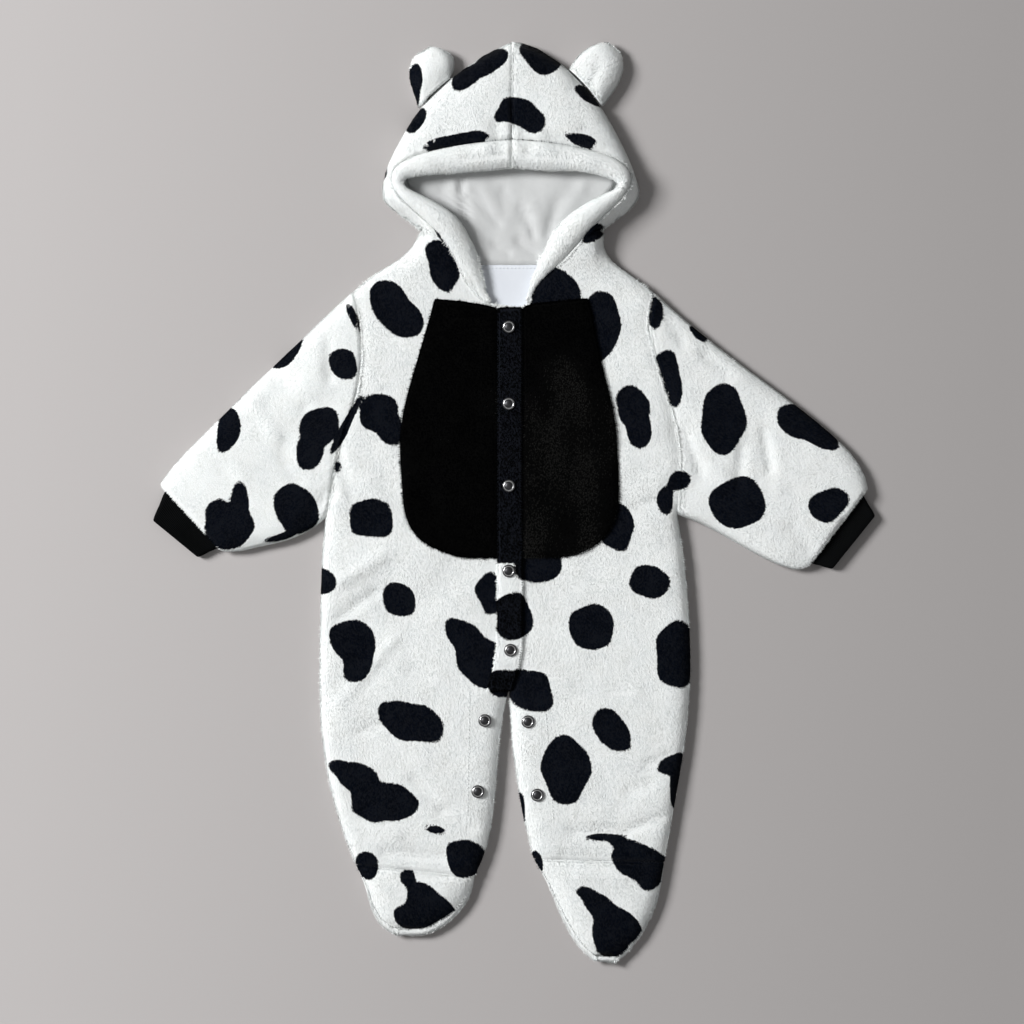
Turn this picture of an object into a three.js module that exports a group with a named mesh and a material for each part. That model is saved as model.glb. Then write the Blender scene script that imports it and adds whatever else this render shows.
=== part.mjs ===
import * as THREE from 'three';

// A baby's cow onesie laid flat on its back. Millimetres: X runs to the wearer's left, Y to the hood, Z up.
// Every outline below is half of the garment, written for the side that its name gives.

// Driving sizes
const CLOTH = 5;
const LAYER_GAP = 2.5;
const SEAM_GAP = 0.4;
const SEAM_HEIGHT = 7;
const EDGE_RADIUS = 16;
const BODY_HEIGHT = 2 * CLOTH + LAYER_GAP;
const HOOD_HEIGHT = 22;
const HOOD_RISE_START = 190;
const HOOD_RISE_END = 240;
const APPLIQUE_CLEARANCE = 0.3;
const APPLIQUE_THICKNESS = 2.2;
const PLACKET_OVERHANG = 2.4;
const FRONT_EDGE_X = 4.7;
const FRONT_TOP_Y = 169;
const FRONT_EDGE_TURN_Y = -130;
const CROTCH = [-4.5, -160];
const BACK_SEAM_X = -2;
const BACK_TOP_Y = 200;
const SOLE_RIM = 8;
const CUFF_CLOTH = 2.5;
const CUFF_HEIGHT = 8;
const CUFF_RADIUS = 9;
const EAR_HEIGHT = 15;
const EAR_RADIUS = 11;
const LINING_BOTTOM = CLOTH + 0.35;
const LINING_THICKNESS = 2;
const FACING_THICKNESS = 1.5;
const BAND_DEPTH = 14.5;
const BAND_RISE = 5.5;
const BAND_FLOOR = 8.7;
const BAND_FULL_WIDTH = 26;
const BAND_STEPS = 10;
const BAND_WALL_SHARE = 0.7;
const BAND_START_ANGLE = -50;
const BAND_TURN = 320;
const FOLD_INSIDE = 0.6;
const FOLD_LIMIT = 2.4;
const EXTENSION = 40;
const SLOPE_STEP = 1.5;
const TINY = 1e-6;

// Distances from a rolled edge at which a row has its points, close where the cloth turns over
const EDGE_STEPS = [0, 3, 8, 16];
const CENTRE_STEPS = [19, 10, 2.7, 0];
const BETWEEN_SHARES = [1 / 3, 2 / 3];
const EDGE_ZONE = 22;
const CENTRE_ZONE = 28;

// Outlines of the body, the arms and the legs: x, y along each edge
const OUTLINES = {
  right: {
    shoulder: [[-81.5, 232], [-85, 223], [-96, 211], [-118, 199], [-138, 183]],
    armhole: [[-138, 183], [-131, 146], [-133, 100], [-151, 50], [-157, 10], [-162, -12]],
    side: [[-162, -12], [-165, -50], [-167, -130], [-166, -190], [-160, -235], [-148, -279], [-136, -310]],
    innerLeg: [[-5, -160], [-10, -180], [-13, -205], [-16, -240], [-19, -275], [-26, -303], [-34, -320]],
    frontNeck: [[-77.5, 235.4], [-62, 229], [-50, 209], [-43, 193], [-34, 181], [-24, 172]],
    backNeck: [[-78, 233.2], [-68.6, 225], [-53, 216], [-31, 209.5], [-2.3, 207]],
    sleeveTop: [
      [-138, 183], [-158, 165], [-184, 139], [-208, 117], [-237, 89], [-261, 64], [-287, 40], [-304, 17],
    ],
    sleeveUnder: [[-162, -12], [-175, -22], [-193, -31], [-217, -36], [-238, -41], [-251, -40]],
    cuffMouth: [[-311, -14], [-272, -46]],
    neckPoint: [-81, 238.5],
  },
  left: {
    shoulder: [[77, 232], [77.5, 213], [96, 200], [120, 182]],
    armhole: [[120, 182], [115, 150], [129, 102], [142, 57], [142, 20], [140, -9]],
    side: [[140, -9], [147, -55], [151, -110], [151, -160], [146, -210], [138, -257], [129, -308]],
    innerLeg: [[-4, -160], [-3, -178], [-2, -203], [3, -240], [9, -273], [17, -305]],
    frontNeck: [[73.5, 234.6], [61, 230], [46, 212], [31, 199], [18, 187], [13, 172]],
    backNeck: [[74, 232.2], [64.6, 224.8], [49, 216], [27, 209.5], [-1.7, 207]],
    sleeveTop: [[120, 182], [151, 154], [194, 120], [237, 89], [279, 55], [298, 36], [304, 14]],
    sleeveUnder: [[140, -9], [164, -18], [194, -35], [224, -51], [242, -57], [252, -54]],
    cuffMouth: [[311, -10], [274, -56]],
    neckPoint: [77, 238],
  },
};

// Hood, from the centre seam to the neck: the band's outer edge, its inner edge and the silhouette
const HOOD_COLUMNS = ['outerX', 'outerY', 'innerX', 'innerY', 'edgeX', 'edgeY'];
const HOOD_ROWS = {
  right: [
    [-2, 313, -2, 289, -2, 396],
    [-30, 311, -29, 286, -25, 386],
    [-60, 306, -57, 283, -52, 368],
    [-86, 299, -80, 281, -80, 343],
    [-103, 289, -93, 279, -98, 313],
    [-106, 276, -94, 273, -112, 285],
    [-98, 262, -83, 267, -112, 262],
    [-82, 248, -62, 257, -98, 250],
    [-62, 229, -45, 244, -85, 242],
  ],
  left: [
    [-1.5, 313, -1.5, 289, -1.5, 397],
    [30, 311, 30, 286, 20, 392],
    [58, 306, 56, 285, 46, 375],
    [81, 300, 76, 281, 72, 347],
    [97, 290, 88, 276, 88, 319],
    [101, 278, 90, 271, 104, 286],
    [94, 263, 79, 267, 107, 264],
    [79, 249, 59, 257, 95, 251],
    [61, 230, 40, 244, 82, 242],
  ],
};
const HOOD_STATIONS = 12;

// Inner edge of the band below the hood, beside the neck: x, y
const BAND_NECK_INNER = {
  right: [[-34, 223], [-29, 203], [-26, 187], [-21, 176]],
  left: [[27, 223], [21, 207], [15, 192], [11, 177]],
};

// Where the hood's back layer meets the back, from the centre to the neck point
const HOOD_NECK = {
  right: [[-2, 207], [-31, 209.5], [-53, 216], [-68, 226], [-79, 238]],
  left: [[-1.5, 207], [27, 209.5], [49, 216], [64, 226], [75, 237.5]],
};

// Rows of a body half. Outer point: an edge and the share of its length. Inner point of the front and of the
// back: a height, or a share of the neck or of the inner leg. Then the x of the belly's outer edge.
const BODY_COLUMNS = ['edge', 'share', 'frontInner', 'backInner', 'bellyRight', 'bellyLeft'];
const BODY_ROWS = [
  ['shoulder', 0, 'neck0', 'neck0', null, null],
  ['shoulder', 0.15, 'neck1', 'neck1', null, null],
  ['shoulder', 0.38, 'neck2', 'neck2', null, null],
  ['shoulder', 0.6, 'neck3', 'neck3', null, null],
  ['shoulder', 0.82, 'neck4', 'neck4', null, null],
  ['armhole', 0, 'neck5', BACK_TOP_Y, -68, 63],
  ['armhole', 0.03, 'top', 193, -69, 64],
  ['armhole', 0.08, FRONT_TOP_Y, 183, -70, 66],
  ['armhole', 0.16, 150, 160, -75, 69],
  ['armhole', 0.3, 122, 128, -83, 74],
  ['armhole', 0.45, 94, 98, -92, 82],
  ['armhole', 0.6, 66, 68, -98, 88],
  ['armhole', 0.74, 39, 39, -98, 89],
  ['armhole', 0.87, 15, 15, -96, 90],
  ['armhole', 0.95, -1, -1, -95, 90],
  ['armhole', 1, -12, -12, -93, 88],
  ['side', 0.05, -26, -26, -86, 82],
  ['side', 0.085, -37, -37, -73, 71],
  ['side', 0.115, -46, -46, -45, 50],
  ['side', 0.19, -68, -68, null, null],
  ['side', 0.28, -94, -94, null, null],
  ['side', 0.37, -120, -120, null, null],
  ['side', 0.44, -142, -142, null, null],
  ['side', 0.5, 'leg0', 'leg0', null, null],
  ['side', 0.57, 'leg0.12', 'leg0.12', null, null],
  ['side', 0.65, 'leg0.27', 'leg0.27', null, null],
  ['side', 0.73, 'leg0.43', 'leg0.43', null, null],
  ['side', 0.81, 'leg0.59', 'leg0.59', null, null],
  ['side', 0.89, 'leg0.75', 'leg0.75', null, null],
  ['side', 0.95, 'leg0.88', 'leg0.88', null, null],
  ['side', 1, 'leg1', 'leg1', null, null],
];
const TIP_ROW = 5;
const TOP_CORNER_ROW = 7;
const UNDERARM_ROW = 15;
const BELLY_LAST_ROW = 18;
const PLACKET_LAST_ROW = 23;
const BELLY_COLUMN = EDGE_STEPS.length + 1;
const PLACKET_COLUMN = BELLY_COLUMN + BETWEEN_SHARES.length + 1;
const ARMHOLE_SHARES = BODY_ROWS.slice(TIP_ROW, UNDERARM_ROW + 1).map((row) => row[1]);
const NO_BELLY_SHARE = 0.42;

// Sleeve rings from the armhole to the cuff: share of the top edge and of the under edge, and how much of the
// armhole's bow is left
const SLEEVE_COLUMNS = ['top', 'under', 'bow'];
const SLEEVE_RINGS = [
  [0, 0, 1],
  [0.08, 0.1, 0.75],
  [0.2, 0.24, 0.4],
  [0.35, 0.4, 0.12],
  [0.5, 0.56, 0],
  [0.65, 0.7, 0],
  [0.8, 0.83, 0],
  [0.92, 0.94, 0],
  [1, 1, 0],
];
const CUFF_ENDS = [0.08, 0.95];
const CUFF_SHARES = [0, 0.04, 0.1, 0.2, 0.35, 0.5, 0.65, 0.8, 0.9, 0.96, 1];

// Foot rows from the ankle to the toe: side edge and inner edge, x, y, x, y
const FOOT_ROWS = {
  right: {
    upper: [
      [-127, -327, -38, -332],
      [-123, -341, -45, -343],
      [-118, -352, -55, -352],
      [-111, -360, -66, -359],
      [-101, -365, -79, -365],
    ],
    sole: [
      [-128, -327, -36, -333],
      [-125, -341, -42, -345],
      [-121, -353, -51, -355],
      [-114, -365, -62, -365],
      [-101, -371, -78, -371],
    ],
  },
  left: {
    upper: [
      [126, -326, 29, -323],
      [121, -345, 38, -343],
      [112, -364, 48, -363],
      [101, -379, 58, -378],
      [88, -389, 70, -389],
    ],
    sole: [
      [127, -326, 28, -323],
      [123, -345, 36, -344],
      [114, -364, 45, -365],
      [103, -381, 55, -382],
      [87, -395, 69, -393],
    ],
  },
};

// Ears from the hood to the tip: the outer edge and the edge nearer the centre, x, y, x, y
const EAR_ROWS = {
  right: [
    [-86, 354, -50, 380],
    [-91, 367, -54, 387],
    [-89, 379, -63, 392],
    [-83, 387, -72, 393],
  ],
  left: [
    [84, 352, 53, 383],
    [92, 365, 61, 391],
    [95, 378, 71, 396],
    [91, 389, 81, 397],
  ],
};
// Where each ear starts and ends along the hood, counted in hood rows
const EAR_BASE = { right: [2.05, 3.1], left: [2.05, 3.2] };
const EAR_SHARES = [0, 0.07, 0.2, 0.4, 0.6, 0.8, 0.93, 1];
const EAR_AIM = new THREE.Vector2(0, 300);

// Hood lining and neck facing, top to bottom: left end, right end and height of each row
const LINING_ROWS = [
  [-60, 52, 337],
  [-76, 66, 321],
  [-85, 78, 304],
  [-92, 85, 289],
  [-93, 87, 275],
  [-86, 81, 265],
  [-69, 65, 255],
  [-52, 50, 245],
  [-41, 39, 231],
  [-35, 31, 217],
  [-31, 25, 205.5],
];
const LINING_STEPS = 14;
const FACING_ROWS = [
  [-33, 27, 205],
  [-33, 25, 188],
  [-32, 23, 170],
  [-30, 21, 150],
];
const FACING_STEPS = 6;

// Folds: from x, y to x, y, half width and height, a trough being below nought
const FOLD_COLUMNS = ['fromX', 'fromY', 'toX', 'toY', 'width', 'height'];
const BODY_FOLDS = [
  [-158, -74, -98, -35, 14, 2.4],
  [-150, -89, -115, -64, 9, -2.4],
  [-150, -163, -92, -100, 12, -2.2],
  [-103, -127, -78, -144, 7, 1.6],
  [-143, -201, -108, -187, 10, -2],
  [-89, -227, -40, -272, 8, 2.2],
  [-143, -255, -126, -273, 8, -2],
  [-135, 23, -154, -10, 9, 2],
  [97, -277, 130, -261, 8, -2.4],
  [100, -266, 132, -249, 9, 2.2],
  [106, -236, 127, -226, 7, -1.6],
  [87, -166, 101, -166, 8, 1.6],
  [24, 68, 65, 88, 14, 1.6],
  [51, -288, 91, -287, 7, -2],
  [-219, 98, -191, 72, 9, 2.2],
  [-168, 120, -167, 89, 9, 2],
  [219, 63, 216, 23, 8, -2.2],
  [206, 50, 201, 25, 8, -1.6],
  [157, 132, 176, 113, 9, -2],
  [140, 72, 157, 23, 10, -2.2],
];
const LINING_FOLDS = [
  [-44, 282, -31, 234, 6, 2.2],
  [-29, 273, -12, 240, 6, 1.8],
  [-5, 285, -3, 227, 7, 1.5],
  [17, 270, 11, 227, 6, 1.9],
  [36, 282, 24, 231, 7, 2.2],
];

// Snaps: name, x, y
const SNAPS = [
  ['snap_1', -4.5, 152],
  ['snap_2', -4.5, 86],
  ['snap_3', -4.5, 15.5],
  ['snap_4', -4.5, -57.5],
  ['snap_5', -3, -125.5],
  ['snap_leg_right_1', -25, -186],
  ['snap_leg_right_2', -31, -247],
  ['snap_leg_left_1', 12, -187],
  ['snap_leg_left_2', 20, -250],
];
const SNAP_PROFILE = [[0, 0], [5.1, 0], [5.5, 0.8], [4.6, 1.8], [3, 1.6], [0, 2.2]];
const SNAP_RADIUS = 5.5;
const SNAP_SIDES = 12;

// Materials
const MATERIALS = {
  plush: { color: 0xe9ecef, roughness: 0.95, metalness: 0 },
  black: { color: 0x14161c, roughness: 0.95, metalness: 0 },
  rib: { color: 0x121318, roughness: 0.85, metalness: 0 },
  lining: { color: 0xdfe4e8, roughness: 0.8, metalness: 0 },
  steel: { color: 0x8b9096, roughness: 0.3, metalness: 1 },
};

// Plane helpers

const vec = (x, y) => new THREE.Vector2(x, y);
const toPoints = (pairs) => pairs.map(([x, y]) => vec(x, y));
const spline = (pairs) => new THREE.SplineCurve(toPoints(pairs));
const mix = (a, b, share) => a.clone().lerp(b, share);
const lastOf = (list) => list[list.length - 1];

function named(columns, row) {
  return Object.fromEntries(columns.map((name, i) => [name, row[i]]));
}

function moved(point, goal, distance) {
  const step = goal.clone().sub(point);
  return point.clone().addScaledVector(step.normalize(), distance);
}

function smoothStep(value) {
  const t = THREE.MathUtils.clamp(value, 0, 1);
  return t * t * (3 - 2 * t);
}

function distanceToSegment(point, a, b) {
  const along = b.clone().sub(a);
  const length = Math.max(along.lengthSq(), TINY);
  const share = THREE.MathUtils.clamp(point.clone().sub(a).dot(along) / length, 0, 1);
  return point.distanceTo(a.clone().addScaledVector(along, share));
}

// Distance to a closed outline, above nought inside it
function depthInside(outline, point) {
  let nearest = Infinity;
  let inside = false;
  outline.forEach((a, i) => {
    const b = outline[(i + 1) % outline.length];
    nearest = Math.min(nearest, distanceToSegment(point, a, b));
    const crosses = (a.y > point.y) !== (b.y > point.y);
    if (crosses && point.x < a.x + ((b.x - a.x) * (point.y - a.y)) / (b.y - a.y)) {
      inside = !inside;
    }
  });
  return inside ? nearest : -nearest;
}

function inwardDirection(outline, point) {
  const depthAt = (x, y) => depthInside(outline, vec(point.x + x, point.y + y));
  const slopeX = depthAt(SLOPE_STEP, 0) - depthAt(-SLOPE_STEP, 0);
  const slopeY = depthAt(0, SLOPE_STEP) - depthAt(0, -SLOPE_STEP);
  return vec(slopeX, slopeY).normalize();
}

function foldHeight(folds, point) {
  let height = 0;
  for (const row of folds) {
    const fold = named(FOLD_COLUMNS, row);
    const distance = distanceToSegment(point, vec(fold.fromX, fold.fromY), vec(fold.toX, fold.toY));
    height += fold.height * Math.exp(-((distance / fold.width) ** 2));
  }
  return THREE.MathUtils.clamp(height, -FOLD_LIMIT, FOLD_LIMIT);
}

// Height of the top layer: low on the body, rising to the hood
function topHeight(point) {
  const share = smoothStep((point.y - HOOD_RISE_START) / (HOOD_RISE_END - HOOD_RISE_START));
  return BODY_HEIGHT + (HOOD_HEIGHT - BODY_HEIGHT) * share;
}

// Cloth laid flat: where the outer and inner faces of a layer lie over a point of the plan

const GARMENT = {
  radius: EDGE_RADIUS,
  seam: SEAM_HEIGHT,
  cloth: CLOTH,
  rim: CLOTH,
  height: topHeight,
  folds: BODY_FOLDS,
};

function lay(point, side, form) {
  const near = THREE.MathUtils.clamp(depthInside(form.outline, point) / form.radius, 0, 1);
  const roll = Math.sqrt(1 - (1 - near) ** 2);
  const gap = point.gap ?? vec(0, 0);
  const outer = point.clone().add(gap);
  const inner = outer.clone();
  if (near < 1 && !form.upright) {
    const inward = inwardDirection(form.outline, point);
    const alongSeam = point.seam?.clone().multiplyScalar(Math.sign(inward.dot(point.seam)));
    inner.addScaledVector(alongSeam ?? inward, form.rim * (1 - near));
  }
  if (side === 'under') {
    const seam = form.seam - form.parting;
    return {
      outer: new THREE.Vector3(outer.x, outer.y, seam * (1 - roll)),
      inner: new THREE.Vector3(inner.x, inner.y, seam - (seam - form.cloth) * roll),
    };
  }
  const seam = form.seam + form.parting;
  const fold = foldHeight(form.folds, point);
  const height = form.height(point);
  const outerHeight = height + fold;
  const innerHeight = height - form.cloth + FOLD_INSIDE * fold;
  return {
    outer: new THREE.Vector3(outer.x, outer.y, seam + (outerHeight - seam) * roll),
    inner: new THREE.Vector3(inner.x, inner.y, seam + (innerHeight - seam) * roll),
  };
}

const sewn = (form) => ({ ...form, parting: SEAM_GAP / 2 });
const wrapped = (form) => ({ ...form, parting: 0 });

// Solids from rows of points

function closedGeometry(points, triangles) {
  let volume = 0;
  for (const [a, b, c] of triangles) {
    volume += points[a].dot(points[b].clone().cross(points[c]));
  }
  const index = triangles.flatMap(([a, b, c]) => (volume < 0 ? [a, c, b] : [a, b, c]));
  const geometry = new THREE.BufferGeometry();
  const positions = points.flatMap((p) => [p.x, p.y, p.z]);
  geometry.setAttribute('position', new THREE.Float32BufferAttribute(positions, 3));
  geometry.setIndex(index);
  geometry.computeVertexNormals();
  return geometry;
}

function quad(triangles, a, b, c, d) {
  triangles.push([a, b, c], [a, c, d]);
}

// A wall with an edge on all four sides
function sheetSolid(outer, inner) {
  const rows = outer.length;
  const columns = outer[0].length;
  const points = [...outer.flat(), ...inner.flat()];
  const back = rows * columns;
  const at = (row, column) => row * columns + column;
  const triangles = [];
  for (let row = 0; row < rows - 1; row += 1) {
    for (let column = 0; column < columns - 1; column += 1) {
      const [a, b] = [at(row, column), at(row, column + 1)];
      const [c, d] = [at(row + 1, column + 1), at(row + 1, column)];
      quad(triangles, a, b, c, d);
      quad(triangles, back + a, back + d, back + c, back + b);
    }
    quad(triangles, at(row, 0), at(row + 1, 0), back + at(row + 1, 0), back + at(row, 0));
    const end = columns - 1;
    quad(triangles, at(row + 1, end), at(row, end), back + at(row, end), back + at(row + 1, end));
  }
  for (let column = 0; column < columns - 1; column += 1) {
    const last = rows - 1;
    quad(triangles, at(0, column + 1), at(0, column), back + at(0, column), back + at(0, column + 1));
    const [a, b] = [at(last, column), at(last, column + 1)];
    quad(triangles, a, b, back + b, back + a);
  }
  return closedGeometry(points, triangles);
}

// A tube's wall: closed rings, open at both ends
function tubeSolid(outer, inner) {
  const rings = outer.length;
  const around = outer[0].length;
  const points = [...outer.flat(), ...inner.flat()];
  const back = rings * around;
  const at = (ring, step) => ring * around + (step % around);
  const triangles = [];
  for (let step = 0; step < around; step += 1) {
    for (let ring = 0; ring < rings - 1; ring += 1) {
      const [a, b, c, d] = [at(ring, step), at(ring, step + 1), at(ring + 1, step + 1), at(ring + 1, step)];
      quad(triangles, a, b, c, d);
      quad(triangles, back + a, back + d, back + c, back + b);
    }
    const last = rings - 1;
    quad(triangles, at(0, step + 1), at(0, step), back + at(0, step), back + at(0, step + 1));
    quad(triangles, at(last, step), at(last, step + 1), back + at(last, step + 1), back + at(last, step));
  }
  return closedGeometry(points, triangles);
}

const facesOf = (laid, face) => laid.map((row) => row.map((point) => point[face]));

function laidSheet(rows, side, form, firstForm = form) {
  const laid = rows.map((row, i) => row.map((point) => lay(point, side, i === 0 ? firstForm : form)));
  return sheetSolid(facesOf(laid, 'outer'), facesOf(laid, 'inner'));
}

// The under layer comes back from the far edge to the near one, sharing both edge points
function laidTube(rings, form) {
  const laid = rings.map((ring) => {
    const top = ring.map((point) => lay(point, 'top', form));
    const under = ring.slice(1, -1).reverse().map((point) => lay(point, 'under', form));
    return [...top, ...under];
  });
  return tubeSolid(facesOf(laid, 'outer'), facesOf(laid, 'inner'));
}

// Plan of a body half

function frontEdge(side, y) {
  const sign = side === 'right' ? -1 : 1;
  const share = smoothStep((FRONT_EDGE_TURN_Y - y) / (FRONT_EDGE_TURN_Y - CROTCH[1]));
  return vec(FRONT_EDGE_X + (CROTCH[0] - FRONT_EDGE_X) * share + (sign * SEAM_GAP) / 2, y);
}

function backEdge(side, y) {
  const sign = side === 'right' ? -1 : 1;
  const share = (BACK_TOP_Y - y) / (BACK_TOP_Y - CROTCH[1]);
  return vec(BACK_SEAM_X + (CROTCH[0] - BACK_SEAM_X) * share + (sign * SEAM_GAP) / 2, y);
}

function innerPoint(side, layer, place) {
  const outline = OUTLINES[side];
  if (typeof place === 'number') {
    return layer === 'front' ? frontEdge(side, place) : backEdge(side, place);
  }
  if (place === 'top') {
    return mix(vec(...lastOf(outline.frontNeck)), frontEdge(side, FRONT_TOP_Y), 1 / 2);
  }
  if (place.startsWith('neck')) {
    const neck = layer === 'front' ? outline.frontNeck : outline.backNeck;
    return toPoints(neck)[Number(place.slice(4))];
  }
  return spline(outline.innerLeg).getPointAt(Number(place.slice(3)));
}

// Points along one row: close at the outer edge, one on the belly's edge, and close again at the inner edge
function rowPoints(start, end, bellyX) {
  const length = start.distanceTo(end);
  const bellyShare = bellyX === null ? NO_BELLY_SHARE : (bellyX - start.x) / (end.x - start.x);
  const belly = bellyShare * length;
  const edge = EDGE_STEPS.map((step) => step * Math.min(1, belly / EDGE_ZONE));
  const centre = CENTRE_STEPS.map((step) => length - step * Math.min(1, (length - belly) / CENTRE_ZONE));
  const between = BETWEEN_SHARES.map((share) => belly + (centre[0] - belly) * share);
  const steps = [...edge, (lastOf(edge) + belly) / 2, belly, ...between, ...centre];
  return steps.map((step) => mix(start, end, step / length));
}

// Gives a seam's points the seam's own direction, so that both pieces end in one upright face along it
function followSeam(points) {
  points.forEach((point, i) => {
    const neighbour = i < points.length / 2 ? points[i + 1] : points[i - 1];
    point.seam = neighbour.clone().sub(point).normalize();
  });
}

// A point on a seam keeps its place in the plan and carries the half gap that its piece stands back by
function standBack(point, neighbour) {
  const place = point.clone();
  const gap = moved(point, neighbour, SEAM_GAP / 2).sub(point);
  place.gap = point.gap ? gap.add(point.gap) : gap;
  place.seam = point.seam;
  return place;
}

function insetOuter(rows, first, last) {
  for (let i = first; i <= last; i += 1) {
    rows[i][0] = standBack(rows[i][0], rows[i][1]);
  }
}

function insetInner(rows, first, last) {
  for (let i = first; i <= last; i += 1) {
    const row = rows[i];
    row[row.length - 1] = standBack(lastOf(row), row[row.length - 2]);
  }
}

function insetRow(rows, index, neighbour) {
  rows[index] = rows[index].map((point, i) => standBack(point, rows[neighbour][i]));
}

function bodyPlan(side, layer) {
  const rows = BODY_ROWS.map((entry) => {
    const row = named(BODY_COLUMNS, entry);
    const start = spline(OUTLINES[side][row.edge]).getPointAt(row.share);
    const end = innerPoint(side, layer, layer === 'front' ? row.frontInner : row.backInner);
    const bellyX = side === 'right' ? row.bellyRight : row.bellyLeft;
    return rowPoints(start, end, bellyX);
  });
  const neckRow = layer === 'front' ? TIP_ROW : TIP_ROW - 1;
  followSeam(rows.slice(TIP_ROW, UNDERARM_ROW + 1).map((row) => row[0]));
  followSeam(rows.slice(0, neckRow + 1).map(lastOf));
  followSeam(lastOf(rows));
  insetOuter(rows, TIP_ROW, UNDERARM_ROW);
  insetInner(rows, 0, neckRow);
  insetRow(rows, rows.length - 1, rows.length - 2);
  return rows;
}

// Plans of the sleeve, the cuff and the foot

function sleevePlan(side) {
  const outline = OUTLINES[side];
  const armhole = spline(outline.armhole);
  const seam = ARMHOLE_SHARES.map((share) => armhole.getPointAt(share));
  const bow = seam.map((point, i) => point.clone().sub(mix(seam[0], lastOf(seam), ARMHOLE_SHARES[i])));
  const rings = SLEEVE_RINGS.map((entry) => {
    const ring = named(SLEEVE_COLUMNS, entry);
    const top = spline(outline.sleeveTop).getPointAt(ring.top);
    const under = spline(outline.sleeveUnder).getPointAt(ring.under);
    return ARMHOLE_SHARES.map((share, i) => mix(top, under, share).addScaledVector(bow[i], ring.bow));
  });
  followSeam(rings[0]);
  followSeam(lastOf(rings));
  insetRow(rings, 0, 1);
  insetRow(rings, rings.length - 1, rings.length - 2);
  return rings;
}

function cuffCorners(side) {
  const start = vec(...lastOf(OUTLINES[side].sleeveTop));
  const end = vec(...lastOf(OUTLINES[side].sleeveUnder));
  const seam = CUFF_ENDS.map((share) => mix(start, end, share));
  return { seam, mouth: toPoints(OUTLINES[side].cuffMouth) };
}

function cuffPlan(side) {
  const { seam, mouth } = cuffCorners(side);
  const rings = [0, 0.5, 1].map((share) => {
    const start = mix(seam[0], mouth[0], share);
    const end = mix(seam[1], mouth[1], share);
    return CUFF_SHARES.map((step) => mix(start, end, step));
  });
  followSeam(rings[0]);
  insetRow(rings, 0, 1);
  return rings;
}

function footPlan(side, piece) {
  const outline = OUTLINES[side];
  const ankle = [...lastOf(outline.side), ...lastOf(outline.innerLeg)];
  const rows = [ankle, ...FOOT_ROWS[side][piece]].map(([startX, startY, endX, endY]) => {
    return rowPoints(vec(startX, startY), vec(endX, endY), null);
  });
  followSeam(rows[0]);
  insetRow(rows, 0, 1);
  return rows;
}

// Outlines that roll over: the whole garment's, and those of the pieces that turn at an edge of their own

function footEdge(side, piece) {
  const rows = FOOT_ROWS[side][piece];
  const outer = rows.map(([x, y]) => vec(x, y));
  const inner = rows.map((row) => vec(row[2], row[3]));
  return [...outer, ...inner.reverse()];
}

function edgeStations(side, name, shares) {
  const edge = spline(OUTLINES[side][name]);
  return shares.map((share) => edge.getPointAt(share));
}

function bodyShares(edge) {
  return BODY_ROWS.filter((row) => row[0] === edge).map((row) => row[1]);
}

function legShares() {
  return BODY_ROWS.filter((row) => String(row[2]).startsWith('leg')).map((row) => Number(row[2].slice(3)));
}

function cuffEdge(side) {
  const { seam, mouth } = cuffCorners(side);
  const beyond = (near, far) => moved(far, near, -EXTENSION);
  return [seam[0], beyond(seam[0], mouth[0]), beyond(seam[1], mouth[1]), seam[1]];
}

// The sleeve's edges run on past the cuff, so that its sewn end isn't rolled
function beyondSleeve(side) {
  const { seam, mouth } = cuffCorners(side);
  const axis = mix(...mouth, 0.5).sub(mix(...seam, 0.5)).setLength(EXTENSION);
  return [OUTLINES[side].sleeveTop, OUTLINES[side].sleeveUnder].map((edge) => vec(...lastOf(edge)).add(axis));
}

function hoodStations(side, first, second) {
  const edge = new THREE.SplineCurve(HOOD_ROWS[side].map((entry) => {
    const row = named(HOOD_COLUMNS, entry);
    return vec(row[first], row[second]);
  }));
  return Array.from({ length: HOOD_STATIONS + 1 }, (_, i) => edge.getPoint(i / HOOD_STATIONS));
}

function halfOutline(side) {
  return [
    ...hoodStations(side, 'edgeX', 'edgeY'),
    vec(...OUTLINES[side].neckPoint),
    ...edgeStations(side, 'shoulder', [...bodyShares('shoulder'), 1]),
    ...edgeStations(side, 'sleeveTop', SLEEVE_RINGS.map((ring) => ring[0]).slice(1)),
    ...beyondSleeve(side),
    ...edgeStations(side, 'sleeveUnder', SLEEVE_RINGS.map((ring) => ring[1]).reverse()),
    ...edgeStations(side, 'side', bodyShares('side')),
    ...footEdge(side, 'sole'),
    ...edgeStations(side, 'innerLeg', legShares().reverse()),
  ];
}

GARMENT.outline = [...halfOutline('right'), ...halfOutline('left').reverse()];

function upperForm(side) {
  const outline = [
    ...edgeStations(side, 'side', [0.8, 0.9, 1]),
    ...footEdge(side, 'upper'),
    ...edgeStations(side, 'innerLeg', [1, 0.9, 0.8, 0.7]),
  ];
  return { ...sewn(GARMENT), outline };
}

function cuffForm(side) {
  const [start, farStart, farEnd, end] = cuffEdge(side);
  const outline = [moved(start, farStart, -EXTENSION), farStart, farEnd, moved(end, farEnd, -EXTENSION)];
  const flat = () => CUFF_HEIGHT;
  return {
    outline,
    radius: CUFF_RADIUS,
    seam: CUFF_HEIGHT / 2,
    cloth: CUFF_CLOTH,
    rim: CUFF_CLOTH,
    height: flat,
    folds: [],
    parting: 0,
  };
}

// Hood

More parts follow.
